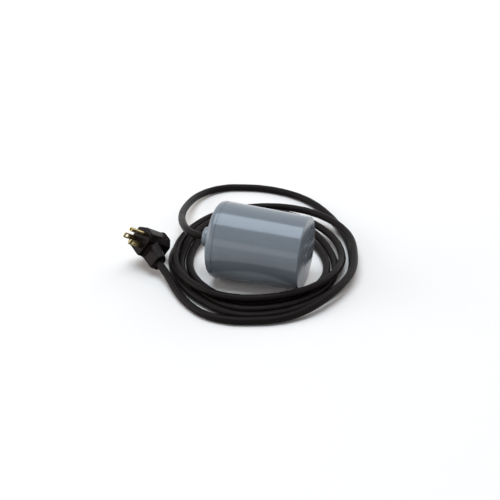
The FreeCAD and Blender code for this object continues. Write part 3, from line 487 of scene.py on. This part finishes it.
def turned_grid(outline, count, to_part):
    """A closed solid of revolution about the X axis.

    The outline runs from the axis, round the section and back to the axis, as (place, radius). Point (i, j)
    is (place_i, radius_i times the sine and cosine of the turn j), and each end on the axis is one point. An
    outline that never meets the axis closes on itself as a ring.
    """
    outline = np.asarray(outline, float)
    turn = np.linspace(0.0, 2 * math.pi, count, endpoint=False)
    solid = outline[0, 1] == 0.0
    rings = outline[1:-1] if solid else outline
    place = np.repeat(rings[:, 0], count)
    radius = rings[:, 1][:, None]
    grid = np.stack([place, (radius * np.sin(turn)).ravel(), (radius * np.cos(turn)).ravel()], 1)
    faces = [sheet_faces(len(rings), count, not solid)]
    if solid:
        ends = np.array([[outline[0, 0], 0.0, 0.0], [outline[-1, 0], 0.0, 0.0]])
        grid = np.concatenate([grid, ends])
        here = np.arange(count)
        beside = (here + 1) % count
        last = (len(rings) - 1) * count
        first_pole = np.full(count, len(rings) * count)
        faces.append(np.stack([first_pole, beside, here], 1))
        faces.append(np.stack([first_pole + 1, last + here, last + beside], 1))
    return to_part(grid), faces


def lofted_grid(sections, to_part):
    """A surface through sections that have as many points each, its last section joined to the first."""
    rows, count = len(sections), len(sections[0])
    grid = np.asarray(sections, float).reshape(rows * count, 3)
    return to_part(grid), [sheet_faces(rows, count, True)]


# Float: its own frame has its axis along X from the solid cap's face, in millimetres

FLOAT_RADIUS = 43.0
FLAT_RADIUS = 40.3
FLOAT_LENGTH = 103.2
CAP_DEPTH = 9.2
CAP_FACE = 0.5
CAP_EDGE_RADIUS = 42.0
SHOULDER = 5.5
SEAM = 0.5
SEAM_WIDTH = 2.2
SEAM_RAMP = 0.2
WALL = 2.6
END_WALL = 3.0
END_EDGE = 1.2
INNER_ROUND = 1.0
DIMPLE_RADIUS = 3.0
DIMPLE_DEPTH = 0.6
DIMPLE_RAMP = 0.3
NUB_RADIUS = 11.3
NUB_LENGTH = 12.0
NUB_FACE = -13.3
NUB_EDGE = 3.2
NUB_ROOT = 1.5
CORD_RADIUS = 4.35
FLOAT_SPOT = Vector((-46.023, 0.0, 43.246))
FLOAT_LEAN = math.atan2(0.02871, 0.99959)
FLOAT_FRAME = Matrix.Translation(FLOAT_SPOT) @ Matrix.Rotation(FLOAT_LEAN, 4, "Y")


def carried(matrix):
    """Takes points in millimetres in a piece's own frame to metres in the part's frame."""
    turn = np.array(matrix.to_3x3())
    spot = np.array(matrix.translation)

    def place(points):
        return (np.asarray(points, float) @ turn.T + spot) * MM
    return place


on_float = carried(FLOAT_FRAME)
taper = (FLOAT_RADIUS - FLAT_RADIUS) / (FLOAT_LENGTH - CAP_DEPTH)


def bore_at(place):
    """The shell's inner radius."""
    return FLOAT_RADIUS - WALL - taper * (place - CAP_DEPTH)


def outline_with(corners, steps):
    """An open outline whose corners are (place, radius, round)."""
    values = np.array(corners, float)
    points = [values[:1, :2]]
    for before, here, after in zip(values, values[1:], values[2:]):
        if here[2] == 0.0:
            points.append(here[None, :2])
            continue
        corner = rounded([before[:2], here[:2], after[:2]], [0.0, here[2], 0.0], steps)
        points.append(corner[steps:2 * steps])
    points.append(values[-1:, :2])
    return np.concatenate(points)


FIT_GAP = 0.15
SPIGOT_LENGTH = 6.0
SPIGOT_END = CAP_DEPTH + SPIGOT_LENGTH
SPIGOT_RADIUS = bore_at(SPIGOT_END) - FIT_GAP
SPIGOT_WALL = 3.4
SEAL_PLACE = 12.4
SEAL_REST = 0.95
GROOVE_HALF = 1.1
GROOVE_FLOOR = SPIGOT_RADIUS - SEAL_REST - GROOVE_HALF
CAP_WALL = 3.0
WELL_RADIUS = 11.0
WELL_WALL = 2.0
WELL_DEPTH = 8.0
WELL_END = CAP_WALL + WELL_DEPTH
GLAND_RADIUS = 6.6
NUB_WALL = 2.0
NUB_INNER_END = NUB_WALL - NUB_LENGTH
CORD_BORE = CORD_RADIUS + FIT_GAP
BORE_MOUTH = 0.5
BOSS_RADIUS = 3.2
BOSS_ROOT = 0.5
BOSS_EDGE = 0.3
BOSS_LENGTH = 11.0
BOSS_END = CAP_WALL + BOSS_LENGTH
BOSS_REACH = 15.0
PILOT_RADIUS = 1.5
PILOT_DEPTH = 8.0
SOFT_EDGE = 0.25
SHELL_STEPS = 8
CAP_STEPS = 10
FLOAT_SIDES = 192
BOSS_SIDES = 40
FLOAT_CREASE = 24.0


def make_float_shell():
    """Tapered cup: its outline is carried round the float's axis."""
    end = FLOAT_LENGTH
    inner = end - END_WALL
    outline = outline_with([
        (end - DIMPLE_DEPTH, 0.0, 0.0),
        (end - DIMPLE_DEPTH, DIMPLE_RADIUS, DIMPLE_RAMP),
        (end, DIMPLE_RADIUS + DIMPLE_RAMP, SOFT_EDGE),
        (end, FLAT_RADIUS, END_EDGE),
        (CAP_DEPTH + SEAM_WIDTH, FLOAT_RADIUS - taper * SEAM_WIDTH, SOFT_EDGE),
        (CAP_DEPTH + SEAM_WIDTH - SEAM_RAMP, FLOAT_RADIUS - SEAM, 0.0),
        (CAP_DEPTH, FLOAT_RADIUS - SEAM, 0.0),
        (CAP_DEPTH, bore_at(CAP_DEPTH), 0.0),
        (inner, bore_at(inner), INNER_ROUND),
        (inner, 0.0, 0.0),
    ], SHELL_STEPS)
    parts = [turned_grid(outline, FLOAT_SIDES, on_float)]
    piece = mesh_piece("float_shell", parts, FINISHES["shell_plastic"], FLOAT_CREASE)
    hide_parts("float_body")


def make_cap_shell():
    """Cap with its round shoulder, nub, spigot, well and two bosses: outlines carried round their axes."""
    outline = outline_with([
        (-NUB_LENGTH / 2, CORD_BORE, 0.0),
        (NUB_FACE, CORD_BORE, BORE_MOUTH),
        (NUB_FACE, NUB_RADIUS, NUB_EDGE),
        (CAP_FACE, NUB_RADIUS, NUB_ROOT),
        (CAP_FACE, CAP_EDGE_RADIUS, SHOULDER),
        (CAP_DEPTH - SEAM_RAMP, FLOAT_RADIUS, SOFT_EDGE),
        (CAP_DEPTH, FLOAT_RADIUS - SEAM, 0.0),
        (CAP_DEPTH, SPIGOT_RADIUS, 0.0),
        (SEAL_PLACE - GROOVE_HALF, SPIGOT_RADIUS, 0.0),
        (SEAL_PLACE - GROOVE_HALF, GROOVE_FLOOR, 0.0),
        (SEAL_PLACE + GROOVE_HALF, GROOVE_FLOOR, 0.0),
        (SEAL_PLACE + GROOVE_HALF, SPIGOT_RADIUS, 0.0),
        (SPIGOT_END, SPIGOT_RADIUS, 0.0),
        (SPIGOT_END, SPIGOT_RADIUS - SPIGOT_WALL, 0.0),
        (CAP_WALL, SPIGOT_RADIUS - SPIGOT_WALL, INNER_ROUND),
        (CAP_WALL, WELL_RADIUS + WELL_WALL, 0.0),
        (WELL_END, WELL_RADIUS + WELL_WALL, 0.0),
        (WELL_END, WELL_RADIUS, 0.0),
        (CAP_WALL, WELL_RADIUS, 0.0),
        (CAP_WALL, GLAND_RADIUS, 0.0),
        (NUB_INNER_END, GLAND_RADIUS, 0.0),
        (NUB_INNER_END, CORD_BORE, 0.0),
        (-NUB_LENGTH / 2, CORD_BORE, 0.0),
    ], CAP_STEPS)[:-1]
    boss = outline_with([
        (CAP_WALL - BOSS_ROOT, 0.0, 0.0),
        (CAP_WALL - BOSS_ROOT, BOSS_RADIUS, 0.0),
        (BOSS_END, BOSS_RADIUS, BOSS_EDGE),
        (BOSS_END, PILOT_RADIUS, 0.0),
        (BOSS_END - PILOT_DEPTH, PILOT_RADIUS, 0.0),
        (BOSS_END - PILOT_DEPTH, 0.0, 0.0),
    ], SHELL_STEPS)
    parts = [turned_grid(outline, FLOAT_SIDES, on_float)]
    for side in (-BOSS_REACH, BOSS_REACH):
        on_boss = carried(FLOAT_FRAME @ Matrix.Translation((0.0, side, 0.0)))
        parts.append(turned_grid(boss, BOSS_SIDES, on_boss))
    piece = mesh_piece("cap_shell", parts, FINISHES["cap_plastic"], FLOAT_CREASE)
    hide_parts("float_cap")


# Cord: the route's points in the loops' floor frame, in millimetres, as the part's source has them but
# for the coil's last station behind the float, which lies a little further in

LAYOUT = Matrix.Rotation(math.radians(17.03), 4, "Z") @ Matrix.Translation((-5.86, 67.4, 0.0))
FLOOR = 4.40
UPPER = 13.57
CORD_DIAMETER = 0.0087

LEAD_POINTS = [
    (-69.0, -36.0, 43.0),
    (-75.7, -12.0, 38.5),
    (-80.3, 22.0, 30.0),
    (-80.8, 60.0, 21.5),
    (-76.0, 98.0, 13.5),
    (-68.0, 129.0, 8.2),
    (-52.0, 153.0, 5.2),
    (-30.0, 165.0, FLOOR),
]

# Every station of the coil is x, y, height and heading in degrees from X
COIL_STATIONS = [
    (-12.0, 165.0, FLOOR, 0),
    (116.8, -18.0, FLOOR, -90),
    (103.2, -82.8, FLOOR, -120),
    (0.0, -154.0, FLOOR, 180),
    (-60.0, -113.0, FLOOR, 128),
    (-88.6, -30.0, FLOOR, 93),
    (8.0, 54.0, FLOOR, 0),
    (86.3, -47.0, FLOOR, -90),
    (0.0, -129.6, FLOOR, 180),
    (-47.5, -97.0, FLOOR, 127),
    (-68.0, -42.0, FLOOR, 94),
    (-38.0, 36.0, UPPER, 46),
    (12.0, 63.0, UPPER, 0),
    (95.9, -46.0, FLOOR, -90),
    (0.0, -141.5, FLOOR, 180),
    (-54.0, -104.5, FLOOR, 127),
    (-77.4, -44.0, FLOOR, 96),
    (-67.2, 8.0, UPPER, 71),
    (10.0, 74.0, UPPER, 0),
    (104.4, -30.0, 9.6, -91),
    (92.0, -80.0, UPPER, -118),
    (0.0, -134.0, UPPER, 180),
    (-84.6, -36.0, UPPER, 90),
    (24.0, 88.6, UPPER, -1),
    (118.3, -14.0, UPPER, -90),
    (107.5, -86.0, 13.4, -113),
    (5.0, -163.8, FLOOR, 180),
]

TAIL_POINTS = [
    (-20.0, -163.8, FLOOR),
    (-47.0, -153.5, FLOOR),
    (-67.0, -129.0, FLOOR),
    (-79.6, -104.0, 5.6),
    (-88.5, -82.0, 8.8),
]

PLUG_FRAME = LAYOUT @ Matrix.Translation((-125.7, -39.1, 31.2)) @ Euler(
    (math.radians(-18.5), math.radians(-34.1), math.radians(221.95)), "XYZ").to_matrix().to_4x4()
on_plug = carried(PLUG_FRAME)
HOOD_X = -12.8
HOOD_LENGTH = 34.0
SLEEVE_RECESS = 1.5
CORD_INSET = 3.0
FIRST_RUN = 2.0
STRAIGHT_RUN = 12.0
COIL_SPACING = 20.0
LINE_ORDER = 3
LINE_STEPS = 8


def arc_points(start, corner, stop, spacing):
    """Points along the arc that leaves start towards corner and reaches stop, start included.

    With u the heading, n across it and R the radius, the point at turn a is
    start + R sin(a) u + R (1 - cos(a)) n.
    """
    chord = stop - start
    ahead = (corner - start) / np.linalg.norm(corner - start)
    across = chord - ahead * chord.dot(ahead)
    across /= np.linalg.norm(across)
    half = math.atan2(chord.dot(across), chord.dot(ahead))
    radius = np.linalg.norm(chord) / (2 * math.sin(half))
    count = max(2, round(2 * half * radius / spacing))
    turn = (np.arange(count) * 2 * half / count)[:, None]
    return start + radius * (np.sin(turn) * ahead + (1 - np.cos(turn)) * across)


def coil_points():
    """The coil's loops: two arcs from each station to the next one, in points a spacing apart.

    The arcs meet in the middle between two corners that lie equally far from the stations along their
    headings. Each inner point then moves outwards by an eighth of its own bend, because the spline passes
    that much inside its points.
    """
    points = []
    stations = [(np.array(s[:3]), math.radians(s[3])) for s in COIL_STATIONS]
    for (begin, turn), (end, last_turn) in zip(stations, stations[1:]):
        heading = np.array([math.cos(turn), math.sin(turn), 0.0])
        last_heading = np.array([math.cos(last_turn), math.sin(last_turn), 0.0])
        span = end - begin
        across = 2 * (1 - heading.dot(last_heading))
        along = span.dot(heading + last_heading)
        reach = (math.sqrt(along ** 2 + across * span.dot(span)) - along) / across
        corner = begin + heading * reach
        last_corner = end - last_heading * reach
        joint = (corner + last_corner) / 2
        points.append(arc_points(begin, corner, joint, COIL_SPACING))
        points.append(arc_points(joint, last_corner, end, COIL_SPACING))
    points.append(stations[-1][0][None])
    points = np.concatenate(points)
    bend = points[:-2] - 2 * points[1:-1] + points[2:]
    points[1:-1] -= bend / 8
    return points


def cord_route():
    """The whole cord's control points in metres: out of the nub, round the coil and into the hood."""
    on_floor = carried(LAYOUT)
    sleeve_end = HOOD_LENGTH - SLEEVE_RECESS
    runs = (-CORD_INSET, FIRST_RUN, STRAIGHT_RUN)
    nub = on_float([(-NUB_LENGTH - run, 0, 0) for run in runs])
    hood = on_plug([(HOOD_X, sleeve_end + run, 0) for run in reversed(runs)])
    return np.concatenate([nub, on_floor(LEAD_POINTS), on_floor(coil_points()), on_floor(TAIL_POINTS), hood])


def smooth_line(points):
    """Points along the smooth spline that has these control points."""
    curve = bpy.data.curves.new("cord_line", "CURVE")
    curve.dimensions = "3D"
    spline = curve.splines.new("NURBS")
    spline.points.add(len(points) - 1)
    spline.points.foreach_set("co", np.concatenate([points, np.ones((len(points), 1))], 1).ravel())
    spline.order_u = LINE_ORDER
    spline.use_endpoint_u = True
    spline.resolution_u = LINE_STEPS
    line = bpy.data.objects.new("cord_line", curve)
    bpy.context.scene.collection.objects.link(line)
    bpy.context.view_layer.update()
    mesh = bpy.data.meshes.new_from_object(line)
    path = np.zeros(len(mesh.vertices) * 3)
    mesh.vertices.foreach_get("co", path)
    bpy.data.meshes.remove(mesh)
    bpy.data.objects.remove(line)
    bpy.data.curves.remove(curve)
    return path.reshape(-1, 3)


CORES = 3
CORE_LAY = 0.055
CORE_RELIEF = 0.010
JACKET_SIDES = 24
JACKET_CREASE = 60.0


def make_cord():
    """Jacketed cord: a round section carried along the smooth line, faintly lobed by its twisted cores.

    At length s and turn a round the cord its radius is R (1 + relief cos(cores (a - 2 pi s / lay))).
    """
    path = smooth_line(cord_route())
    steps = np.linalg.norm(np.diff(path, axis=0), axis=1)
    keep = np.concatenate([[True], steps > SAME_PLACE])
    path = path[keep]
    length = np.concatenate([[0.0], np.cumsum(np.linalg.norm(np.diff(path, axis=0), axis=1))])
    ahead = np.gradient(path, length, axis=0)
    ahead /= np.linalg.norm(ahead, axis=1)[:, None]
    side = np.cross(ahead, (0.0, 0.0, 1.0))
    side /= np.linalg.norm(side, axis=1)[:, None]
    rise = np.cross(side, ahead)
    turn = np.linspace(0.0, 2 * math.pi, JACKET_SIDES, endpoint=False)[None, :]
    lobes = np.cos(CORES * (turn - 2 * math.pi * length[:, None] / CORE_LAY))
    radius = CORD_DIAMETER / 2 * (1 + CORE_RELIEF * (lobes - 1))
    ring = side[:, None] * (np.cos(turn) * radius)[..., None]
    ring += rise[:, None] * (np.sin(turn) * radius)[..., None]
    grid = (path[:, None] + ring).reshape(-1, 3)
    grid = np.concatenate([grid, path[:1], path[-1:]])
    count = JACKET_SIDES
    here = np.arange(count)
    beside = (here + 1) % count
    last = (len(path) - 1) * count
    pole = np.full(count, len(path) * count)
    faces = [
        sheet_faces(len(path), count, False),
        np.stack([pole, beside, here], 1),
        np.stack([pole + 1, last + here, last + beside], 1),
    ]
    cord = mesh_piece("cord", [(grid, faces)], JACKET_FINISH, JACKET_CREASE)
    lay_jacket_map(cord.data, length, count)
    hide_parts("cord_lead", "cord_coil", "cord_tail")
    return cord, path


def lay_jacket_map(mesh, length, count):
    """The jacket's own UV map: metres along the cord, and turns round it."""
    index = np.zeros(len(mesh.loops), int)
    mesh.loops.foreach_get("vertex_index", index)
    sides = np.zeros(len(mesh.polygons), int)
    mesh.polygons.foreach_get("loop_total", sides)
    of_face = np.repeat(np.arange(len(sides)), sides)
    ring = np.minimum(index // count, len(length) - 1)
    step = index % count
    wraps = np.zeros(len(sides), bool)
    np.logical_or.at(wraps, of_face, step == count - 1)
    step = np.where(wraps[of_face] & (step == 0), count, step)
    layer = mesh.uv_layers.new(name="jacket")
    layer.data.foreach_set("uv", np.stack([length[ring], step / count], 1).ravel())


# Plug: its own frame has the prongs along X, the hood along Y and the ground prong above, in millimetres

BLOCK_DEPTH = 34.9
BLOCK_HALF = 13.2
BLOCK_LOW = 9.9
BLOCK_SHOULDER = 12.1
BLOCK_HIGH = 18.1
BLOCK_TOP_HALF = 6.0
BLOCK_WALL = 2.0
BLOCK_LOW_ROUND = 1.9
BLOCK_HIGH_ROUND = 2.6
LEAST_ROUND = 0.3
BLOCK_EDGE = 0.7
POCKET_DEPTH = 2.0
POCKET_ROUND = 0.15
STEP_DEPTH = 4.4
STEP_RAMP = 0.05
STEP_FOOT = 0.4
RING_GAP = 0.3
TOP_STEP = 0.9
LIP = 1.0
LIP_WIDTH = 4.6
LIP_RAMP = 1.0
LIP_ROUND = 0.8
BACK_EDGE = 2.4
SHOULDER_SHARE = 0.4
HOOD_ROOT = (7.0, 9.6, 7.6, 12.8)
HOOD_END = (6.8, 9.2, 5.6, 10.2)
HOOD_TOP_HALF = 2.0
HOOD_ROUNDS = (2.4, 1.4, 2.8, 1.2, 1.4, 2.4)
HOOD_START = 11.5
HOOD_FILLET = 1.6
HOOD_EDGE = 1.5
HOOD_MOUTH = 0.4
SLEEVE_RADIUS = 5.75
SLEEVE_START = 23.5
CORE_GAP = 0.05
FILLET_RINGS = 7
HOOD_RINGS = 5
CORNER_STEPS = 6
HOOD_SIDES = 180
PLUG_CREASE = 32.0


def hooded_corners(half, low, shoulder, top_half, high):
    """A square-footed outline whose sides lean in above their shoulders to a narrower top."""
    right = [(half, low), (half, shoulder), (top_half, high)]
    return right + [(-across, up) for across, up in reversed(right)]


def standing(flat, place):
    """A flat outline's points, along X and up, at a place along Y."""
    return np.column_stack([flat[:, 0], np.full(len(flat), place), flat[:, 1]])


def block_section(place, inset):
    """The block's outline drawn in by an inset, its corners rounded, at a place along X.

    The top of the first few millimetres is lower by a step. The low corners keep their round when drawn in.
    """
    low = inset - BLOCK_LOW
    high = BLOCK_HIGH - inset
    if place > -STEP_DEPTH and inset < BLOCK_WALL / 2:
        high -= TOP_STEP
    half = BLOCK_HALF - inset
    shoulder = BLOCK_SHOULDER - inset * SHOULDER_SHARE
    top_half = BLOCK_TOP_HALF - inset * SHOULDER_SHARE
    high_round = max(BLOCK_HIGH_ROUND - inset, LEAST_ROUND)
    radii = [BLOCK_LOW_ROUND, *[high_round] * 4, BLOCK_LOW_ROUND]
    flat = rounded(hooded_corners(half, low, shoulder, top_half, high), radii, CORNER_STEPS)
    return np.column_stack([np.full(len(flat), place), flat])


def hood_section(place, inset):
    """The hood's outline at a place along Y, drawn in by an inset, with a flare where it leaves the block."""
    share = (place - BLOCK_HALF) / (HOOD_LENGTH - BLOCK_HALF)
    half, low, shoulder, high = (a + (b - a) * share for a, b in zip(HOOD_ROOT, HOOD_END))
    rest = min(max(HOOD_FILLET - (place - BLOCK_HALF), 0.0), HOOD_FILLET)
    flare = HOOD_FILLET - math.sqrt(HOOD_FILLET ** 2 - rest ** 2)
    half += flare - inset
    top_half = HOOD_TOP_HALF - inset * SHOULDER_SHARE
    low = inset - low
    shoulder -= inset * SHOULDER_SHARE
    corners = hooded_corners(half, low, shoulder, top_half, high - inset)
    radii = np.maximum(np.array(HOOD_ROUNDS) - inset / 2, LEAST_ROUND)
    flat = seen_from(rounded(corners, radii, CORNER_STEPS), (0.0, 0.0), HOOD_SIDES)
    return standing(flat + (HOOD_X, 0.0), place)


def make_plug_shell():
    """Block and hood, each a rounded outline carried along its axis and drawn in at its ends."""
    lip_end = LIP_WIDTH - BLOCK_DEPTH
    rings = (-BLOCK_EDGE - RING_GAP, RING_GAP - STEP_DEPTH, STEP_RAMP - STEP_DEPTH,
             -STEP_RAMP - STEP_DEPTH, -STEP_FOOT - STEP_DEPTH, lip_end + 2 * LIP_RAMP)
    edge = outline_with([
        (-POCKET_DEPTH, BLOCK_WALL, 0.0),
        (0.0, BLOCK_WALL, POCKET_ROUND),
        (0.0, 0.0, BLOCK_EDGE),
        *[(place, 0.0, 0.0) for place in rings],
        (lip_end + LIP_RAMP, 0.0, LIP_ROUND),
        (lip_end, -LIP, LIP_ROUND),
        (-BLOCK_DEPTH, -LIP, BACK_EDGE),
        (-BLOCK_DEPTH, BLOCK_WALL, POCKET_ROUND),
        (POCKET_DEPTH - BLOCK_DEPTH, BLOCK_WALL, 0.0),
    ], CORNER_STEPS)
    block = lofted_grid([block_section(place, inset) for place, inset in edge], on_plug)
    rise = BLOCK_HALF + HOOD_FILLET * (1 - np.cos(np.linspace(0.0, math.pi / 2, FILLET_RINGS)))
    places = [HOOD_START, *rise, *np.linspace(rise[-1], HOOD_LENGTH - HOOD_EDGE, HOOD_RINGS)[1:]]
    sections = [hood_section(place, 0.0) for place in places]
    for turn in np.linspace(0.0, math.pi / 2, CORNER_STEPS)[1:]:
        sections.append(hood_section(
            HOOD_LENGTH - HOOD_EDGE + HOOD_EDGE * math.sin(turn), HOOD_EDGE * (1 - math.cos(turn))))
    core_radius = CORD_RADIUS + CORE_GAP
    bore = [
        (HOOD_LENGTH, SLEEVE_RADIUS + HOOD_MOUTH),
        (HOOD_LENGTH - HOOD_MOUTH, SLEEVE_RADIUS),
        (SLEEVE_START, SLEEVE_RADIUS),
        (SLEEVE_START, core_radius),
        (HOOD_START, core_radius),
    ]
    for place, radius in bore:
        sections.append(standing(circle((HOOD_X, 0.0), radius, HOOD_SIDES), place))
    hood = lofted_grid(sections, on_plug)
    piece = mesh_piece("plug_shell", [block, hood], FINISHES["plug_plastic"], PLUG_CREASE)
    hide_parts("plug_body")
    return piece


PRONG_ROOT = 9.0
PRONG_LENGTH = 17.8
PRONG_WIDTH = 6.35
PRONG_THICKNESS = 1.5
PRONG_HALF_PITCH = 6.35
PRONG_HOLE = 1.9
HOLE_FROM_TIP = 4.1
HOLE_SPOT = (PRONG_LENGTH - HOLE_FROM_TIP, 0.0)
PRONG_EDGE = 0.22
PRONG_ROUNDS = (0.3, 1.9, 1.9, 0.3)
PRONG_STEPS = 10
EDGE_STEPS = 4
PRONG_SIDES = 96
PRONG_CREASE = 35.0


def prong_section(inset, depth):
    """A flat prong's outline, drawn in by an inset, seen from its hole's middle."""
    half = PRONG_WIDTH / 2 - inset
    tip = PRONG_LENGTH - inset
    root = inset - PRONG_ROOT
    outline = rounded([(root, -half), (tip, -half), (tip, half), (root, half)], PRONG_ROUNDS, PRONG_STEPS)
    return standing(seen_from(outline, HOLE_SPOT, PRONG_SIDES), depth)


def edge_round(middle, side, turn):
    """How far a prong's rounded edge draws in, and the depth there, at a turn from its flat side."""
    depth = middle + side * (PRONG_THICKNESS / 2 - PRONG_EDGE * (1 - math.cos(turn)))
    return PRONG_EDGE * (1 - math.sin(turn)), depth


def make_prongs():
    """Two flat prongs, each a closed loft over its outline's edge to the other side and back by its hole."""
    turns = np.linspace(0.0, math.pi / 2, EDGE_STEPS)
    pieces = []
    for name, middle in (("prong_line", PRONG_HALF_PITCH), ("prong_neutral", -PRONG_HALF_PITCH)):
        sections = []
        for side in (1, -1):
            for turn in turns[::side]:
                inset, depth = edge_round(middle, side, turn)
                sections.append(prong_section(inset, depth))
        for side in (-1, 1):
            for turn in turns[::-side]:
                inset, depth = edge_round(middle, side, turn)
                sections.append(standing(circle(HOLE_SPOT, PRONG_HOLE + inset, PRONG_SIDES), depth))
        piece = mesh_piece(name + "_blade", [lofted_grid(sections, on_plug)], FINISHES["prong_brass"],
                           PRONG_CREASE)
        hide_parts(name)
        pieces.append(piece)
    return pieces


make_float_shell()
make_cap_shell()
cord, cord_path = make_cord()
plug_shell = make_plug_shell()
prongs = make_prongs()

# Every other piece keeps its solid and takes its finish

node_slots = {part["node"]: part["material_slot"] for part in frame["record"]["subparts"]}
for name, shown in nodes.items():
    slot = node_slots[name]
    for place in shown.material_slots:
        place.material = FINISHES[slot]

tuple(on_float([(-NUB_LENGTH, 0, 0)])[0])


# Stage: a white floor that fades to the white of the world, an overhead softbox and four dim panels

FLOOR_HALF = 12.0
FLOOR_COLOUR = (0.800, 0.785, 0.777)
FLOOR_LIFT = 0.03
FAR_LIFT = 0.8
LIFT_START = 0.45
LIFT_END = 2.6
FILL_COLOUR = (1.0, 0.93, 0.88)
AMBIENT = 0.05
SWEEP = 0.75
SWEEP_START = -0.05
SWEEP_FULL = 0.3
SOFTBOX_COLOUR = (0.84, 0.93, 1.0)
PANEL_COLOUR = (1.0, 0.94, 0.9)
WHITE = (1.0, 1.0, 1.0)


def white_share(tree):
    """1 for the lens, gloss and clear things, which see the plain white, and 0 for light shed on things."""
    path = tree.nodes.new("ShaderNodeLightPath").outputs
    seen = math_node(tree, "MAXIMUM", path["Is Camera Ray"], path["Is Glossy Ray"])
    return math_node(tree, "MAXIMUM", seen, path["Is Transmission Ray"])


def make_floor():
    """A flat floor, lifted a little for the lens and for gloss so that it meets the white around it."""
    mesh = bpy.data.meshes.new("studio_floor")
    corners = [(-FLOOR_HALF, -FLOOR_HALF, 0), (FLOOR_HALF, -FLOOR_HALF, 0), (FLOOR_HALF, FLOOR_HALF, 0),
               (-FLOOR_HALF, FLOOR_HALF, 0)]
    mesh.from_pydata(corners, [], [(0, 1, 2, 3)])
    floor = bpy.data.objects.new("studio_floor", mesh)
    bpy.context.scene.collection.objects.link(floor)
    made, tree, shader = started("studio_floor")
    shader.inputs["Base Color"].default_value = rgba(FLOOR_COLOUR)
    shader.inputs["Roughness"].default_value = 0.9
    shader.inputs["Specular IOR Level"].default_value = 0.1
    shader.inputs["Emission Color"].default_value = rgba(WHITE)
    away = add(tree, "ShaderNodeVectorMath", {0: object_place(tree)}, operation="LENGTH").outputs["Value"]
    lift = ranged(tree, away, LIFT_START, LIFT_END, FLOOR_LIFT, FAR_LIFT)
    tree.links.new(math_node(tree, "MULTIPLY", white_share(tree), lift), shader.inputs["Emission Strength"])
    mesh.materials.append(made)


def make_world():
    """White behind everything; what it sheds on things is dim, and brighter from the sweep behind them."""
    world = bpy.data.worlds.new("studio")
    world.use_nodes = True
    tree = world.node_tree
    tree.nodes.clear()
    way = tree.nodes.new("ShaderNodeTexCoord").outputs["Generated"]
    parts = add(tree, "ShaderNodeSeparateXYZ", {"Vector": way}).outputs
    behind = ranged(tree, parts["Y"], SWEEP_START, SWEEP_FULL, AMBIENT, SWEEP)
    seen = white_share(tree)
    colour = between(tree, seen, rgba(FILL_COLOUR), rgba(WHITE))
    sky = add(tree, "ShaderNodeBackground", {"Color": colour})
    shed = math_node(tree, "MULTIPLY", behind, math_node(tree, "SUBTRACT", 1.0, seen))
    tree.links.new(math_node(tree, "ADD", shed, seen), sky.inputs["Strength"])
    tree.links.new(sky.outputs[0], tree.nodes.new("ShaderNodeOutputWorld").inputs[0])
    bpy.context.scene.world = world


def make_lamp(name, place, aim, size, radiance, colour):
    """A soft rectangular lamp that looks at a point.

    Its face is as bright as a quarter of its energy over its area.
    """
    lamp = bpy.data.lights.new(name, "AREA")
    lamp.shape = "RECTANGLE"
    lamp.size, lamp.size_y = size
    lamp.energy = radiance * 4 * size[0] * size[1]
    lamp.color = colour
    held = bpy.data.objects.new(name, lamp)
    bpy.context.scene.collection.objects.link(held)
    held.location = place
    held.rotation_euler = (Vector(aim) - Vector(place)).to_track_quat("-Z", "Y").to_euler()


make_floor()
make_world()

# Each lamp's name, place and aim, the sides of its face, how bright the face is, and its colour
make_lamp("overhead_softbox", (-0.75, 0.1, 6.0), (-0.75, 0.1001, 0.0), (5.1, 4.3), 3.75, SOFTBOX_COLOUR)
make_lamp("left_panel", (-2.2, -0.7, 1.0), (0.0, 0.0, 0.03), (2.0, 1.4), 2.1, PANEL_COLOUR)
make_lamp("back_panel", (1.5, 2.3, 1.3), (0.0, 0.0, 0.03), (2.4, 1.8), 1.2, PANEL_COLOUR)
make_lamp("right_strip", (2.3, -0.5, 0.55), (0.0, 0.0, 0.05), (0.3, 0.8), 2.4, PANEL_COLOUR)
make_lamp("front_panel", (-1.1, -2.0, 0.75), (0.0, 0.0, 0.1), (3.0, 0.8), 0.75, PANEL_COLOUR)
